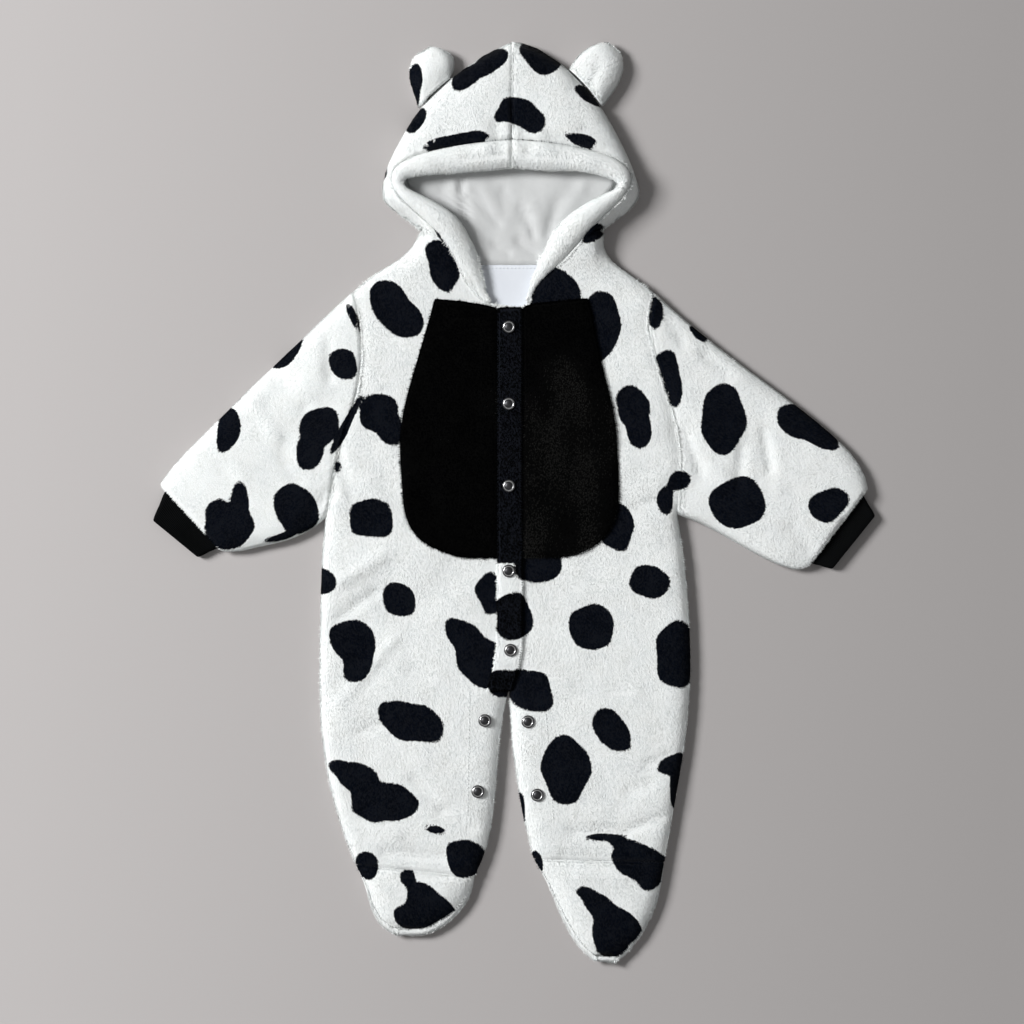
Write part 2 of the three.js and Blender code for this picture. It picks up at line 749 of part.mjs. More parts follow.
function hoodSolid(side) {
  const rim = hoodStations(side, 'outerX', 'outerY');
  const edge = hoodStations(side, 'edgeX', 'edgeY');
  const neck = toPoints(HOOD_NECK[side]);
  const spans = neck.length - 1 - TINY;
  const form = wrapped(GARMENT);
  const plan = rim.map((rimPoint, i) => {
    const place = (i / HOOD_STATIONS) * spans;
    const neckPoint = mix(neck[Math.floor(place)], neck[Math.floor(place) + 1], place - Math.floor(place));
    const topLength = rimPoint.distanceTo(edge[i]);
    const underLength = neckPoint.distanceTo(edge[i]);
    const topSteps = EDGE_STEPS.map((step) => step * Math.min(1, topLength / EDGE_ZONE));
    const underSteps = EDGE_STEPS.slice(1).map((step) => step * Math.min(1, underLength / EDGE_ZONE));
    const far = lastOf(underSteps);
    const top = [topLength, (topLength + lastOf(topSteps)) / 2, ...topSteps.reverse()];
    const between = BETWEEN_SHARES.map((share) => far + (underLength - far) * share);
    const under = [...underSteps, ...between, underLength];
    return {
      top: top.map((step) => mix(edge[i], rimPoint, step / topLength)),
      under: under.map((step) => mix(edge[i], neckPoint, step / underLength)),
    };
  });
  for (const part of ['top', 'under']) {
    const rows = plan.map((row) => row[part]);
    followSeam(lastOf(rows));
    if (part === 'under') {
      followSeam(rows.map(lastOf));
    }
    insetRow(rows, rows.length - 1, rows.length - 2);
    if (part === 'top') {
      insetOuter(rows, 0, rows.length - 1);
    } else {
      insetInner(rows, 0, rows.length - 1);
    }
    rows.forEach((row, i) => {
      plan[i][part] = row;
    });
  }
  const laid = plan.map((row) => [
    lay(row.top[0], 'top', { ...form, upright: true }),
    ...row.top.slice(1).map((point) => lay(point, 'top', form)),
    ...row.under.map((point) => lay(point, 'under', form)),
  ]);
  return sheetSolid(facesOf(laid, 'outer'), facesOf(laid, 'inner'));
}

// The band is one strip folded into a roll: in section a loop of cloth, open underneath
function bandSolid(side) {
  const neckOuter = toPoints(OUTLINES[side].frontNeck.slice(2));
  const outerEdge = [...hoodStations(side, 'outerX', 'outerY'), ...neckOuter];
  const innerEdge = [...hoodStations(side, 'innerX', 'innerY'), ...toPoints(BAND_NECK_INNER[side])];
  const outer = [];
  const inner = [];
  outerEdge.forEach((edgePoint, i) => {
    const start = moved(edgePoint, innerEdge[i], SEAM_GAP / 2);
    const centre = mix(start, innerEdge[i], 0.5);
    const halfWidth = start.distanceTo(innerEdge[i]) / 2;
    const fullness = Math.min(1, (2 * halfWidth) / BAND_FULL_WIDTH);
    const top = topHeight(edgePoint) + BAND_RISE * fullness;
    const bottom = Math.max(top - BAND_DEPTH * Math.sqrt(fullness), BAND_FLOOR);
    const halfDepth = (top - bottom) / 2;
    const wall = Math.min(CLOTH, BAND_WALL_SHARE * halfWidth, BAND_WALL_SHARE * halfDepth);
    const across = start.clone().sub(centre).normalize();
    const loop = (width, depth) => Array.from({ length: BAND_STEPS + 1 }, (_, step) => {
      const angle = THREE.MathUtils.degToRad(BAND_START_ANGLE + (step * BAND_TURN) / BAND_STEPS);
      const place = centre.clone().addScaledVector(across, width * Math.cos(angle));
      return new THREE.Vector3(place.x, place.y, bottom + halfDepth + depth * Math.sin(angle));
    });
    outer.push(loop(halfWidth, halfDepth));
    inner.push(loop(halfWidth - wall, halfDepth - wall));
  });
  return sheetSolid(outer, inner);
}

// Thin pieces inside the hood, lying on the back layer
function insideSolid(table, steps, thickness, folds) {
  const rows = table.map(([startX, endX, y]) => Array.from({ length: steps + 1 }, (_, i) => {
    const point = vec(startX + ((endX - startX) * i) / steps, y);
    const lift = foldHeight(folds, point);
    return new THREE.Vector3(point.x, point.y, LINING_BOTTOM + lift);
  }));
  const top = rows.map((row) => row.map((p) => new THREE.Vector3(p.x, p.y, p.z + thickness)));
  return sheetSolid(top, rows);
}

// Ears

function earPlan(side) {
  const silhouette = hoodStations(side, 'edgeX', 'edgeY');
  const rowSpans = HOOD_ROWS[side].length - 1;
  const [first, last] = EAR_BASE[side].map((row) => (row * HOOD_STATIONS) / rowSpans);
  const base = EAR_SHARES.map((share) => {
    const place = last + (first - last) * share;
    const low = Math.floor(place);
    const point = mix(silhouette[low], silhouette[low + 1], place - low);
    const seamPoint = moved(point, EAR_AIM, -SEAM_GAP);
    seamPoint.seam = silhouette[low + 1].clone().sub(silhouette[low]).normalize();
    return seamPoint;
  });
  const rows = EAR_ROWS[side].map(([startX, startY, endX, endY]) => EAR_SHARES.map(
    (share) => mix(vec(startX, startY), vec(endX, endY), share),
  ));
  return [base, ...rows];
}

function earForm(rows) {
  const [base, ...rest] = rows;
  const start = base[0];
  const end = lastOf(base);
  const outline = [
    moved(start, rest[0][0], -EXTENSION),
    start,
    ...rest.map((row) => row[0]),
    ...rest.map(lastOf).reverse(),
    end,
    moved(end, lastOf(rest[0]), -EXTENSION),
  ];
  const flat = () => EAR_HEIGHT;
  return { ...sewn(GARMENT), outline, radius: EAR_RADIUS, height: flat, folds: [] };
}

// Applique and placket, from the front's own points moved out

function appliqueSolid(rows) {
  const form = sewn(GARMENT);
  const lifted = (lift) => rows.map((row) => row.map((point) => {
    const { outer } = lay(point, 'top', form);
    return outer.setZ(outer.z + lift);
  }));
  return sheetSolid(lifted(APPLIQUE_CLEARANCE + APPLIQUE_THICKNESS), lifted(APPLIQUE_CLEARANCE));
}

function bellyPlan(side, front) {
  const last = side === 'right' ? PLACKET_COLUMN : front[0].length - 2;
  const rows = front.slice(TIP_ROW, BELLY_LAST_ROW + 1).map((row) => row.slice(BELLY_COLUMN, last + 1));
  if (side === 'right') {
    insetInner(rows, 0, rows.length - 1);
  }
  return rows;
}

function placketPlan(front) {
  const rows = front.slice(TOP_CORNER_ROW, PLACKET_LAST_ROW + 1).map((row) => {
    const inner = lastOf(row);
    return [...row.slice(PLACKET_COLUMN), vec(inner.x + PLACKET_OVERHANG, inner.y)];
  });
  insetOuter(rows, 0, rows.length - 1);
  return rows;
}

function snapGeometry() {
  const profile = SNAP_PROFILE.map(([radius, height]) => vec(radius, height));
  return new THREE.LatheGeometry(profile, SNAP_SIDES).rotateX(Math.PI / 2);
}

// The garment

const garment = new THREE.Group();
garment.name = 'cow_onesie';

function add(name, geometry, material) {
  const mesh = new THREE.Mesh(geometry, new THREE.MeshStandardMaterial(MATERIALS[material]));
  mesh.name = name;
  garment.add(mesh);
  return mesh;
}

function addHalf(side) {
  const cloth = sewn(GARMENT);
  const front = bodyPlan(side, 'front');
  add(`front_${side}`, laidSheet(front, 'top', cloth), 'plush');
  add(`back_${side}`, laidSheet(bodyPlan(side, 'back'), 'under', cloth), 'plush');
  add(`sleeve_${side}`, laidTube(sleevePlan(side), wrapped(GARMENT)), 'plush');
  add(`cuff_${side}`, laidTube(cuffPlan(side), cuffForm(side)), 'rib');
  add(`hood_${side}`, hoodSolid(side), 'plush');
  add(`hood_band_${side}`, bandSolid(side), 'plush');
  add(`belly_${side}`, appliqueSolid(bellyPlan(side, front)), 'black');
  add(`foot_upper_${side}`, laidSheet(footPlan(side, 'upper'), 'top', upperForm(side), cloth), 'plush');
  const soleForm = { ...cloth, rim: SOLE_RIM };
  add(`sole_${side}`, laidSheet(footPlan(side, 'sole'), 'under', soleForm, cloth), 'plush');
  const ear = earPlan(side);
  add(`ear_front_${side}`, laidSheet(ear, 'top', earForm(ear)), 'plush');
  add(`ear_back_${side}`, laidSheet(ear, 'under', earForm(ear)), 'plush');
  if (side === 'right') {
    add('placket', appliqueSolid(placketPlan(front)), 'plush');
  }
}

function addSnaps() {
  const cloth = sewn(GARMENT);
  for (const [name, x, y] of SNAPS) {
    const snap = add(name, snapGeometry(), 'steel');
    const onPlacket = !name.includes('leg');
    const around = [[0, 0], [1, 0], [-1, 0], [0, 1], [0, -1]].map(([alongX, alongY]) => (
      lay(vec(x + SNAP_RADIUS * alongX, y + SNAP_RADIUS * alongY), 'top', cloth).outer.z
    ));
    const surface = Math.max(...around);
    const lift = onPlacket ? APPLIQUE_CLEARANCE + APPLIQUE_THICKNESS : 0;
    snap.position.set(x, y, surface + lift + APPLIQUE_CLEARANCE);
  }
}

addHalf('right');
addHalf('left');
add('hood_lining', insideSolid(LINING_ROWS, LINING_STEPS, LINING_THICKNESS, LINING_FOLDS), 'lining');
add('neck_facing', insideSolid(FACING_ROWS, FACING_STEPS, FACING_THICKNESS, []), 'lining');
addSnaps();

export default garment;
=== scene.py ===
import math

import bmesh
import bpy
import numpy as np
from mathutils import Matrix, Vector, noise
from mathutils.bvhtree import BVHTree
from mathutils.kdtree import KDTree


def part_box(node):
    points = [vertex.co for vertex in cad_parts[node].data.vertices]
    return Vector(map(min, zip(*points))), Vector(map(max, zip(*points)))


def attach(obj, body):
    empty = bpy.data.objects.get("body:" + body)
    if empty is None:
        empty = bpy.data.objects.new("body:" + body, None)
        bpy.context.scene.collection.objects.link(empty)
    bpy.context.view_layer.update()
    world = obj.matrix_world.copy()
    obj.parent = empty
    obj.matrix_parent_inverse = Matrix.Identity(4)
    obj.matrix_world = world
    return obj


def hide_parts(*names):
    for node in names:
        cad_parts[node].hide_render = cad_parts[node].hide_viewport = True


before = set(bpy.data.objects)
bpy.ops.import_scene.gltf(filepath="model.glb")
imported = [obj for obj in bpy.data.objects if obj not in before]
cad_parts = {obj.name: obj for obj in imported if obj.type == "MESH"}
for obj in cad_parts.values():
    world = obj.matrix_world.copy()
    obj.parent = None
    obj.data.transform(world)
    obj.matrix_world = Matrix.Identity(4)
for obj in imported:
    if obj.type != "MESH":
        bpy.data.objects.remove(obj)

# A baby's cow onesie laid flat. The tables below are in millimetres, Blender's objects in metres.
# X runs to the wearer's left, Y to the hood, Z up from the surface that it lies on.
# Right and left in the names are the wearer's.
MM = 0.001
RNG = np.random.default_rng(11)
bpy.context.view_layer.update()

# Camera: straight above, at the picture's centre
PICTURE_WIDTH_M = 0.8806
PICTURE_CENTRE = (-0.0017, -0.0069, 0.008)
LENS_MM = 150
SENSOR_MM = 36
CLIP_END_M = 20


def add_object(name, data):
    added = bpy.data.objects.new(name, data)
    bpy.context.scene.collection.objects.link(added)
    return added


def smooth(mesh):
    for polygon in mesh.polygons:
        polygon.use_smooth = True


def add_camera():
    data = bpy.data.cameras.new("camera")
    data.lens = LENS_MM
    data.sensor_width = SENSOR_MM
    data.clip_end = CLIP_END_M
    camera = add_object("camera", data)
    distance = PICTURE_WIDTH_M * LENS_MM / SENSOR_MM
    camera.location = Vector(PICTURE_CENTRE) + Vector((0, 0, distance))
    bpy.context.scene.camera = camera


add_camera()

# Spots of the top side: group, x, y, half length, half width and tilt in degrees. A group is one spot.
SPOTS = [
    ("sleeve right", 1, -137, 159, 11, 3.5, -62),
    ("sleeve right", 2, -146, 119.5, 12.5, 13.5, 0),
    ("sleeve right", 3, -196, 130, 18, 9, 42),
    ("sleeve right", 4, -246, 63, 10, 20, -8),
    ("sleeve right", 5, -167, 67, 17, 17, 0),
    ("sleeve right", 5, -175, 44, 12.5, 14, 0),
    ("sleeve right", 6, -245, -20, 20, 19, 0),
    ("sleeve right", 6, -253, -7, 12, 11, 0),
    ("sleeve right", 6, -235, 4, 8, 15, -6),
    ("sleeve right", 7, -187, -4, 20, 21, 0),
    ("sleeve right", 8, -201, -28, 15, 3, 16),
    ("front right", 9, -108, 175, 17.5, 17, 0),
    ("front right", 9, -103, 163, 19, 15, -40),
    ("front right", 9, -91, 156, 15, 14, -40),
    ("front right", 10, -118, 79, 17, 17, 0),
    ("front right", 10, -106, 65, 12, 14, 0),
    ("armhole right", 10, -145, 66, 28, 4, 62),
    ("front right", 11, -152, 32, 3.5, 5, 0),
    ("front right", 12, -122, -12, 20, 18, -24),
    ("front right", 13, -166, -67, 14, 12, 0),
    ("front right", 14, -99, -83, 18.5, 12.5, -40),
    ("front right", 15, -138, -118, 20.5, 19, 0),
    ("front right", 15, -134, -138, 12.5, 17, 0),
    ("front right", 16, -44, -112, 17, 12, -45),
    ("front right", 16, -28, -135, 27, 19, -52),
    ("front right", 17, -21, -76, 12, 16.5, 0),
    ("front right", 18, -61, 205, 23, 13, -66),
    ("leg right", 19, -88, -187, 31, 17, -16),
    ("leg right", 20, -149, -226, 8, 6, -10),
    ("leg right", 20, -132, -236, 19, 14, -20),
    ("leg right", 20, -111, -254, 29, 16, -14),
    ("leg right", 20, -122, -263, 15, 11, -6),
    ("leg right", 21, -68, -279, 10, 3, -12),
    ("leg right", 22, -41, -304, 17, 18, 12),
    ("leg right", 23, -125, -311, 10.5, 12.5, 0),
    ("foot right", 24, -90, -323, 7, 8, 0),
    ("foot right", 24, -82, -334, 13, 10, -42),
    ("foot right", 24, -71, -346, 23, 12, -32),
    ("foot right", 24, -80, -357, 20, 8, 8),
    ("foot right", 24, -91, -354, 11, 9, 0),
    ("foot right", 24, -84, -345, 10, 10, 0),
    ("centre", 25, 20, -50, 21, 18, 0),
    ("centre", 26, -1, -97, 17.5, 20.5, 0),
    ("crotch", 27, 13, -160, 20, 18, -30),
    ("crotch", 27, 18, -169, 13, 10, 0),
    ("crotch", 27, -10, -154, 15, 11, -20),
    ("front left", 28, 36, 176, 22, 27, 0),
    ("front left", 28, 56, 147, 18, 19, 0),
    ("front left", 28, 74, 154, 17, 29, 0),
    ("front left", 29, 101, 84, 14, 17, 0),
    ("front left", 29, 107, 64, 11, 18, 0),
    ("front left", 30, 89, -20, 14, 23, 6),
    ("front left", 31, 115, -67, 17, 14.5, 0),
    ("front left", 32, 66, -106, 20.5, 21, 0),
    ("front left", 33, 140, -130, 18, 30, 0),
    ("leg left", 34, 84, -194.5, 22, 13, -48),
    ("leg left", 35, 45, -228, 20.5, 29, 0),
    ("leg left", 36, 138, -224, 14, 9, 0),
    ("leg left", 36, 142, -240, 8, 24, 0),
    ("leg left", 37, 112, -310, 20, 16, -34),
    ("leg left", 37, 100, -309, 16, 11, -30),
    ("leg left", 37, 98, -293, 16, 5, -16),
    ("leg left", 37, 78, -286, 19, 3.2, 4),
    ("leg left", 37, 117, -323, 9, 9, 0),
    ("leg left", 38, 20, -308, 5, 13, 14),
    ("leg left", 39, 6, -262, 4, 14, 0),
    ("foot left", 40, 61, -333, 8, 5, -20),
    ("foot left", 40, 73, -344, 14, 9, -34),
    ("foot left", 40, 90, -360, 25, 14, -32),
    ("foot left", 40, 76, -368, 11, 14, 0),
    ("foot left", 40, 87, -379, 14, 13, -30),
    ("foot left", 41, 50, -379, 5, 7, 0),
    ("sleeve left", 42, 120, 164, 7, 14, 0),
    ("sleeve left", 43, 132, 117, 11, 16, 0),
    ("sleeve left", 43, 137.5, 97, 7, 17, 8),
    ("sleeve left", 44, 180, 74, 18.5, 29.5, 0),
    ("sleeve left", 45, 240, 71, 17, 14, -30),
    ("sleeve left", 45, 261, 60, 20, 10, -30),
    ("sleeve left", 46, 158, 148, 9, 4, -38),
    ("sleeve left", 47, 192, 1, 24, 22, 0),
    ("sleeve left", 48, 270, 0, 17, 14, 10),
    ("armhole left", 49, 141, 20, 10, 9, 20),
    ("armhole left", 50, 131, 4, 7, 13, 0),
    ("hood", 51, -42, 366, 15, 9, 48),
    ("hood", 51, -22, 379, 17, 9.5, 34),
    ("hood", 52, 22, 383, 19, 12, -28),
    ("hood", 53, 6, 337, 17, 12, -12),
    ("hood", 53, 16, 328, 11, 10, 0),
    ("hood", 53, -9, 334, 11, 6, 30),
    ("hood", 54, -50, 311, 27, 6, 11),
    ("hood", 54, -31, 315, 7, 5.5, 10),
    ("hood", 55, 57, 312, 16, 6, -22),
    ("hood", 56, 63, 350, 17, 6, -34),
    ("hood", 57, -83, 328, 6.5, 12, -30),
    ("ear right", 58, -85, 361, 7, 19, 0),
    ("hood", 59, -113, 283, 5, 8, 0),
    ("neck right", 60, -56, 228, 15, 5.5, -40),
    ("neck left", 61, 67, 230, 12, 6.5, 32),
]

# Spots of the underside, of the same kind and spacing
BACK_SPOTS = [
    ("back", 101, -92, 168, 24, 17, 30),
    ("back", 102, 20, 158, 21, 23, 0),
    ("back", 103, 92, 132, 16, 27, 12),
    ("back", 104, -40, 118, 19, 15, -25),
    ("back", 105, -108, 74, 15, 22, 0),
    ("back", 106, 36, 84, 25, 17, 20),
    ("back", 107, 112, 44, 17, 14, 0),
    ("back", 108, -62, 22, 22, 17, -35),
    ("back", 109, 12, 6, 16, 21, 0),
    ("back", 110, 84, -30, 22, 15, 40),
    ("back", 111, -124, -34, 14, 21, 0),
    ("back", 112, -34, -66, 24, 18, 15),
    ("back", 113, 44, -92, 18, 24, 0),
    ("back", 114, -104, -112, 21, 15, -20),
    ("back", 115, 118, -112, 17, 19, 0),
    ("back", 116, -48, -158, 17, 21, 0),
    ("back", 117, 64, -176, 24, 15, -30),
    ("back", 118, -126, -196, 15, 23, 8),
    ("back", 119, 116, -226, 14, 21, 0),
    ("back", 120, -66, -238, 22, 16, 25),
    ("back", 121, 36, -262, 14, 19, 0),
    ("back", 122, -104, -296, 19, 14, 0),
    ("back", 123, 88, -312, 20, 17, 0),
    ("back", 124, -176, 104, 17, 15, 20),
    ("back", 125, -214, 52, 15, 20, 0),
    ("back", 126, -178, 10, 19, 13, -15),
    ("back", 127, -258, 16, 13, 16, 0),
    ("back", 128, 176, 96, 19, 15, -30),
    ("back", 129, 226, 34, 17, 20, 0),
    ("back", 130, 178, -12, 15, 12, 0),
    ("back", 131, 272, 14, 14, 18, 0),
    ("back", 132, -52, 262, 23, 17, 20),
    ("back", 133, 46, 290, 18, 25, 0),
    ("back", 134, -16, 338, 21, 15, -20),
    ("back", 135, 78, 262, 15, 13, 0),
    ("back", 136, -82, 318, 12, 19, 0),
]
# How far the ovals of one group run together, in millimetres
SPOT_BLEND = 5
# The waves of a spot's edge: height and length in millimetres, then the turn and the length of the wave that
# bends it, and its shift
EDGE_WAVE_X = (1.3, 7.1, 1.7, 9.3, 0)
EDGE_WAVE_Y = (1.1, 6.3, 1.9, 8.7, 2)

# Distances that stand for cloth with no black and cloth with no white
ALL_WHITE = 50.0
ALL_BLACK = -50.0
OUTSIDE_ALL = 99.0

# The placket is black above this Y. The fronts are black under it on this half width, from a little below it
# to this top.
PLACKET_BLACK_Y = -51
UNDER_PLACKET_HALF = 18
UNDER_PLACKET_BELOW = 4
UNDER_PLACKET_TOP = 168
# Below this Z a sleeve or hood shows the underside's spots, and they mix over this height above it
UNDERSIDE_Z = 2
UNDERSIDE_MIX = 4


def ellipse_distance(x, y, row):
    """A smooth distance to one oval, below nought inside it, near enough in millimetres."""
    _, _, middle_x, middle_y, long, short, tilt = row
    cos, sin = math.cos(math.radians(tilt)), math.sin(math.radians(tilt))
    u = ((x - middle_x) * cos + (y - middle_y) * sin) / long
    v = (-(x - middle_x) * sin + (y - middle_y) * cos) / short
    return (np.hypot(u, v) - 1) * np.sqrt(long * short)


def edge_wave(along, across, wave):
    height, length, bend, bend_length, shift = wave
    return height * np.sin(along / length + bend * np.sin(across / bend_length) + shift)


def spot_distance(x, y, table):
    """The distance to the nearest spot, in millimetres. The ovals of one group run together softly."""
    groups = {}
    for row in table:
        groups.setdefault(row[1], []).append(ellipse_distance(x, y, row))
    best = np.full(len(x), OUTSIDE_ALL)
    for fields in groups.values():
        joined = fields[0]
        for field in fields[1:]:
            blend = np.clip(0.5 + 0.5 * (field - joined) / SPOT_BLEND, 0, 1)
            joined = field * (1 - blend) + joined * blend - SPOT_BLEND * blend * (1 - blend)
        best = np.minimum(best, joined)
    return best + (edge_wave(x, y, EDGE_WAVE_X) + edge_wave(y, x, EDGE_WAVE_Y))


def wave_noise(points, scale, seed):
    """Smooth noise from about -1 to 1 at points in millimetres."""
    shift = Vector((seed * 17.3, seed * 5.1, seed * 9.7))
    return np.array([noise.noise(Vector(p) / scale + shift) for p in points])


# Pieces: the cut of what shows of each node, as width and length in millimetres and area in square metres,
# and the kind of cloth
PLUSH_NODES = {
    "front_right": (172, 556, 0.078, "top"),
    "front_left": (156, 543, 0.070, "top"),
    "back_right": (166, 554, 0.078, "back"),
    "back_left": (156, 541, 0.073, "back"),
    "sleeve_right": (250, 225, 0.041, "both"),
    "sleeve_left": (260, 240, 0.046, "both"),
    "hood_right": (200, 190, 0.024, "both"),
    "hood_left": (200, 190, 0.024, "both"),
    "foot_upper_right": (102, 56, 0.0042, "top"),
    "foot_upper_left": (112, 84, 0.0067, "top"),
    "ear_front_right": (48, 54, 0.0017, "top"),
    "ear_front_left": (50, 56, 0.0019, "top"),
    "ear_back_right": (48, 54, 0.0017, "plain"),
    "ear_back_left": (50, 56, 0.0019, "plain"),
    "sole_right": (102, 61, 0.0049, "plain"),
    "sole_left": (112, 90, 0.0075, "plain"),
    "hood_band_right": (62, 190, 0.0086, "plain"),
    "hood_band_left": (62, 190, 0.0086, "plain"),
    "placket": (31, 330, 0.0078, "placket"),
    "belly_right": (84, 224, 0.0168, "black"),
    "belly_left": (84, 224, 0.0168, "black"),
    "hood_lining": (182, 134, 0.0178, "lining"),
    "neck_facing": (60, 56, 0.0033, "lining"),
    "cuff_right": (136, 36, 0.004, "rib"),
    "cuff_left": (138, 35, 0.004, "rib"),
}

# Which spots each node shows
SPOTS_OF = {
    "front_right": ("front right", "armhole right", "leg right", "crotch", "neck right"),
    "front_left": ("front left", "armhole left", "centre", "crotch", "leg left", "neck left"),
    "sleeve_right": ("sleeve right", "armhole right"),
    "sleeve_left": ("sleeve left", "armhole left"),
    "foot_upper_right": ("foot right", "leg right"),
    "foot_upper_left": ("foot left", "leg left"),
    "ear_front_right": ("ear right",),
    "ear_front_left": (),
    "hood_right": ("hood", "neck right"),
    "hood_left": ("hood", "neck left"),
    "placket": ("centre", "crotch"),
}


def spot_values(node, x, y, z):
    """How far each point lies outside the black, in millimetres: below nought it is black."""
    kind = PLUSH_NODES[node][3]
    if kind == "plain":
        return np.full(len(x), ALL_WHITE)
    if kind == "black":
        return np.full(len(x), ALL_BLACK)
    if kind == "back":
        return spot_distance(x, y, BACK_SPOTS)
    names = SPOTS_OF[node]
    top = spot_distance(x, y, [row for row in SPOTS if row[0] in names])
    if kind == "placket":
        return np.minimum(top, PLACKET_BLACK_Y - y)
    if node.startswith("front"):
        below_top = np.maximum(PLACKET_BLACK_Y + UNDER_PLACKET_BELOW - y, y - UNDER_PLACKET_TOP)
        return np.minimum(top, np.maximum(np.abs(x) - UNDER_PLACKET_HALF, below_top))
    if kind == "top":
        return top
    under = np.clip((UNDERSIDE_Z + UNDERSIDE_MIX - z) / UNDERSIDE_MIX, 0, 1)
    return top * (1 - under) + spot_distance(x, y, BACK_SPOTS) * under


# Creases beyond the large folds of the solids: from x, y to x, y, half width and height. A trough is below
# nought.
CREASES = [
    (-148, -66, -112, -44, 6, 1.0),
    (-150, -98, -120, -76, 5, -0.9),
    (-152, -172, -104, -118, 5, 0.8),
    (-88, -141, -72, -150, 4, -0.7),
    (-134, -196, -112, -188, 4, -0.8),
    (-86, -236, -62, -262, 5, -0.9),
    (-60, -262, -36, -278, 5, -0.8),
    (-142, -246, -128, -262, 4, -0.8),
    (-118, -276, -100, -284, 5, 0.7),
    (-110, -300, -62, -304, 6, -1.2),
    (-94, -314, -58, -316, 5, -0.7),
    (-150, 44, -140, 8, 5, -0.9),
    (-126, 20, -112, -2, 6, 0.7),
    (96, -281, 128, -268, 4, -1.1),
    (98, -246, 118, -240, 4, -0.7),
    (112, -224, 132, -216, 4, -0.7),
    (84, -158, 98, -160, 4, -0.6),
    (52, -281, 88, -280, 5, -1.0),
    (42, -303, 82, -304, 5, -1.0),
    (58, -318, 92, -322, 6, 0.7),
    (92, 34, 124, 20, 7, 0.8),
    (100, -4, 124, 4, 5, -0.8),
    (-206, 110, -178, 84, 5, -0.9),
    (-224, 88, -204, 58, 5, 0.8),
    (-250, 44, -232, 26, 6, 0.7),
    (-198, 44, -186, 20, 6, -0.8),
    (-160, 140, -158, 108, 5, -0.9),
    (-178, -14, -160, 8, 6, -1.0),
    (214, 62, 220, 30, 4, -1.0),
    (228, 44, 226, 14, 6, 0.45),
    (196, 48, 192, 18, 5, -0.8),
    (164, 128, 184, 112, 5, -0.9),
    (132, 160, 144, 140, 5, -0.8),
    (148, 60, 160, 28, 5, -0.8),
    (168, 32, 186, 20, 5, 0.8),
    (238, -20, 252, -36, 5, -0.7),
    (-24, 316, 22, 313, 8, 0.9),
    (-16, 324, -12, 300, 3.5, -0.8),
    (-5, 328, 0, 300, 4, 0.5),
    (9, 322, 13, 302, 3.5, -0.8),
    (23, 318, 30, 302, 5, 0.5),
    (-34, 330, -24, 306, 6, 0.5),
    (-44, 296, 0, 301, 2.6, -0.6),
    (8, 300, 52, 296, 2.6, -0.5),
    (-88, 352, -82, 374, 3, -0.7),
    (-80, 350, -76, 372, 4, 0.5),
    (62, 354, 72, 376, 3, -0.7),
    (72, 352, 80, 374, 4, 0.5),
    (-92, 300, -58, 318, 5, -0.7),
    (60, 322, 90, 308, 5, -0.7),
    (-60, 366, -52, 350, 5, -0.8),
    (58, 372, 50, 352, 5, -0.8),
]
LINING_CREASES = [
    (-46, 281, -42, 243, 2.6, -1.2),
    (-52, 276, -50, 250, 5.0, 0.7),
    (-34, 266, -13, 241, 3.2, -0.8),
    (-24, 268, -12, 252, 4.0, 0.5),
    (-9, 270, -10, 250, 2.4, -0.6),
    (6, 258, 17, 231, 2.8, -0.9),
    (12, 262, 22, 244, 4.0, 0.5),
    (38, 262, 29, 232, 3.4, -0.9),
    (-62, 270, -56, 256, 3.5, -0.5),
    (60, 274, 48, 256, 4.5, 0.6),
    (-18, 223, -4, 216, 2.2, -0.8),
    (3, 226, 20, 214, 2.4, -0.9),
    (-32, 230, -27, 212, 2.6, 0.5),
]
# What the heights above are multiplied by
CREASE_DEPTH = 1.7
LINING_DEPTH = 2.6


def crease_height(x, y, table):
    total = np.zeros(len(x))
    for from_x, from_y, to_x, to_y, width, height in table:
        along = np.array([to_x - from_x, to_y - from_y], float)
        length = float(along @ along)
        share = np.clip(((x - from_x) * along[0] + (y - from_y) * along[1]) / length, 0, 1)
        distance = np.hypot(x - from_x - share * along[0], y - from_y - share * along[1])
        total += height * np.exp(-(distance / width) ** 2)
    return total


# Materials

def new_material(name):
    material = bpy.data.materials.new(name)
    material.use_nodes = True
    tree = material.node_tree
    return material, tree, tree.nodes["Principled BSDF"]


def add_node(tree, kind, **values):
    node = tree.nodes.new(kind)
    for name, value in values.items():
        if hasattr(node, name):
            setattr(node, name, value)
        else:
            node.inputs[name.replace("_", " ")].default_value = value
    return node


def fibre_bump(tree, shader, scale, strength, distance):
    coordinates = add_node(tree, "ShaderNodeTexCoord")
    fine = add_node(tree, "ShaderNodeTexNoise", Scale=scale, Detail=4.0, Roughness=0.65)
    bump = add_node(tree, "ShaderNodeBump", Strength=strength, Distance=distance)
    tree.links.new(coordinates.outputs["Object"], fine.inputs["Vector"])
    tree.links.new(fine.outputs["Fac"], bump.inputs["Height"])
    tree.links.new(bump.outputs["Normal"], shader.inputs["Normal"])
    return coordinates


def mix_colours(tree, low, high, share):
    """A colour between two, by a share from 0 to 1."""
    mixed = add_node(tree, "ShaderNodeMix", data_type="RGBA")
    for socket, colour in ((6, low), (7, high)):
        if colour is not None:
            mixed.inputs[socket].default_value = (*colour, 1)
    tree.links.new(share, mixed.inputs[0])
    return mixed


def mottling(tree, coordinates, scale):
    noise_node = add_node(tree, "ShaderNodeTexNoise", Scale=scale, Detail=3.0)
    tree.links.new(coordinates.outputs["Object"], noise_node.inputs["Vector"])
    return noise_node.outputs["Fac"]


# How far the ragged edge of a spot wanders in the ground, and over what distance black turns white, in
# millimetres
RAGGED_EDGE = 1.2
EDGE_SOFTNESS = 0.5


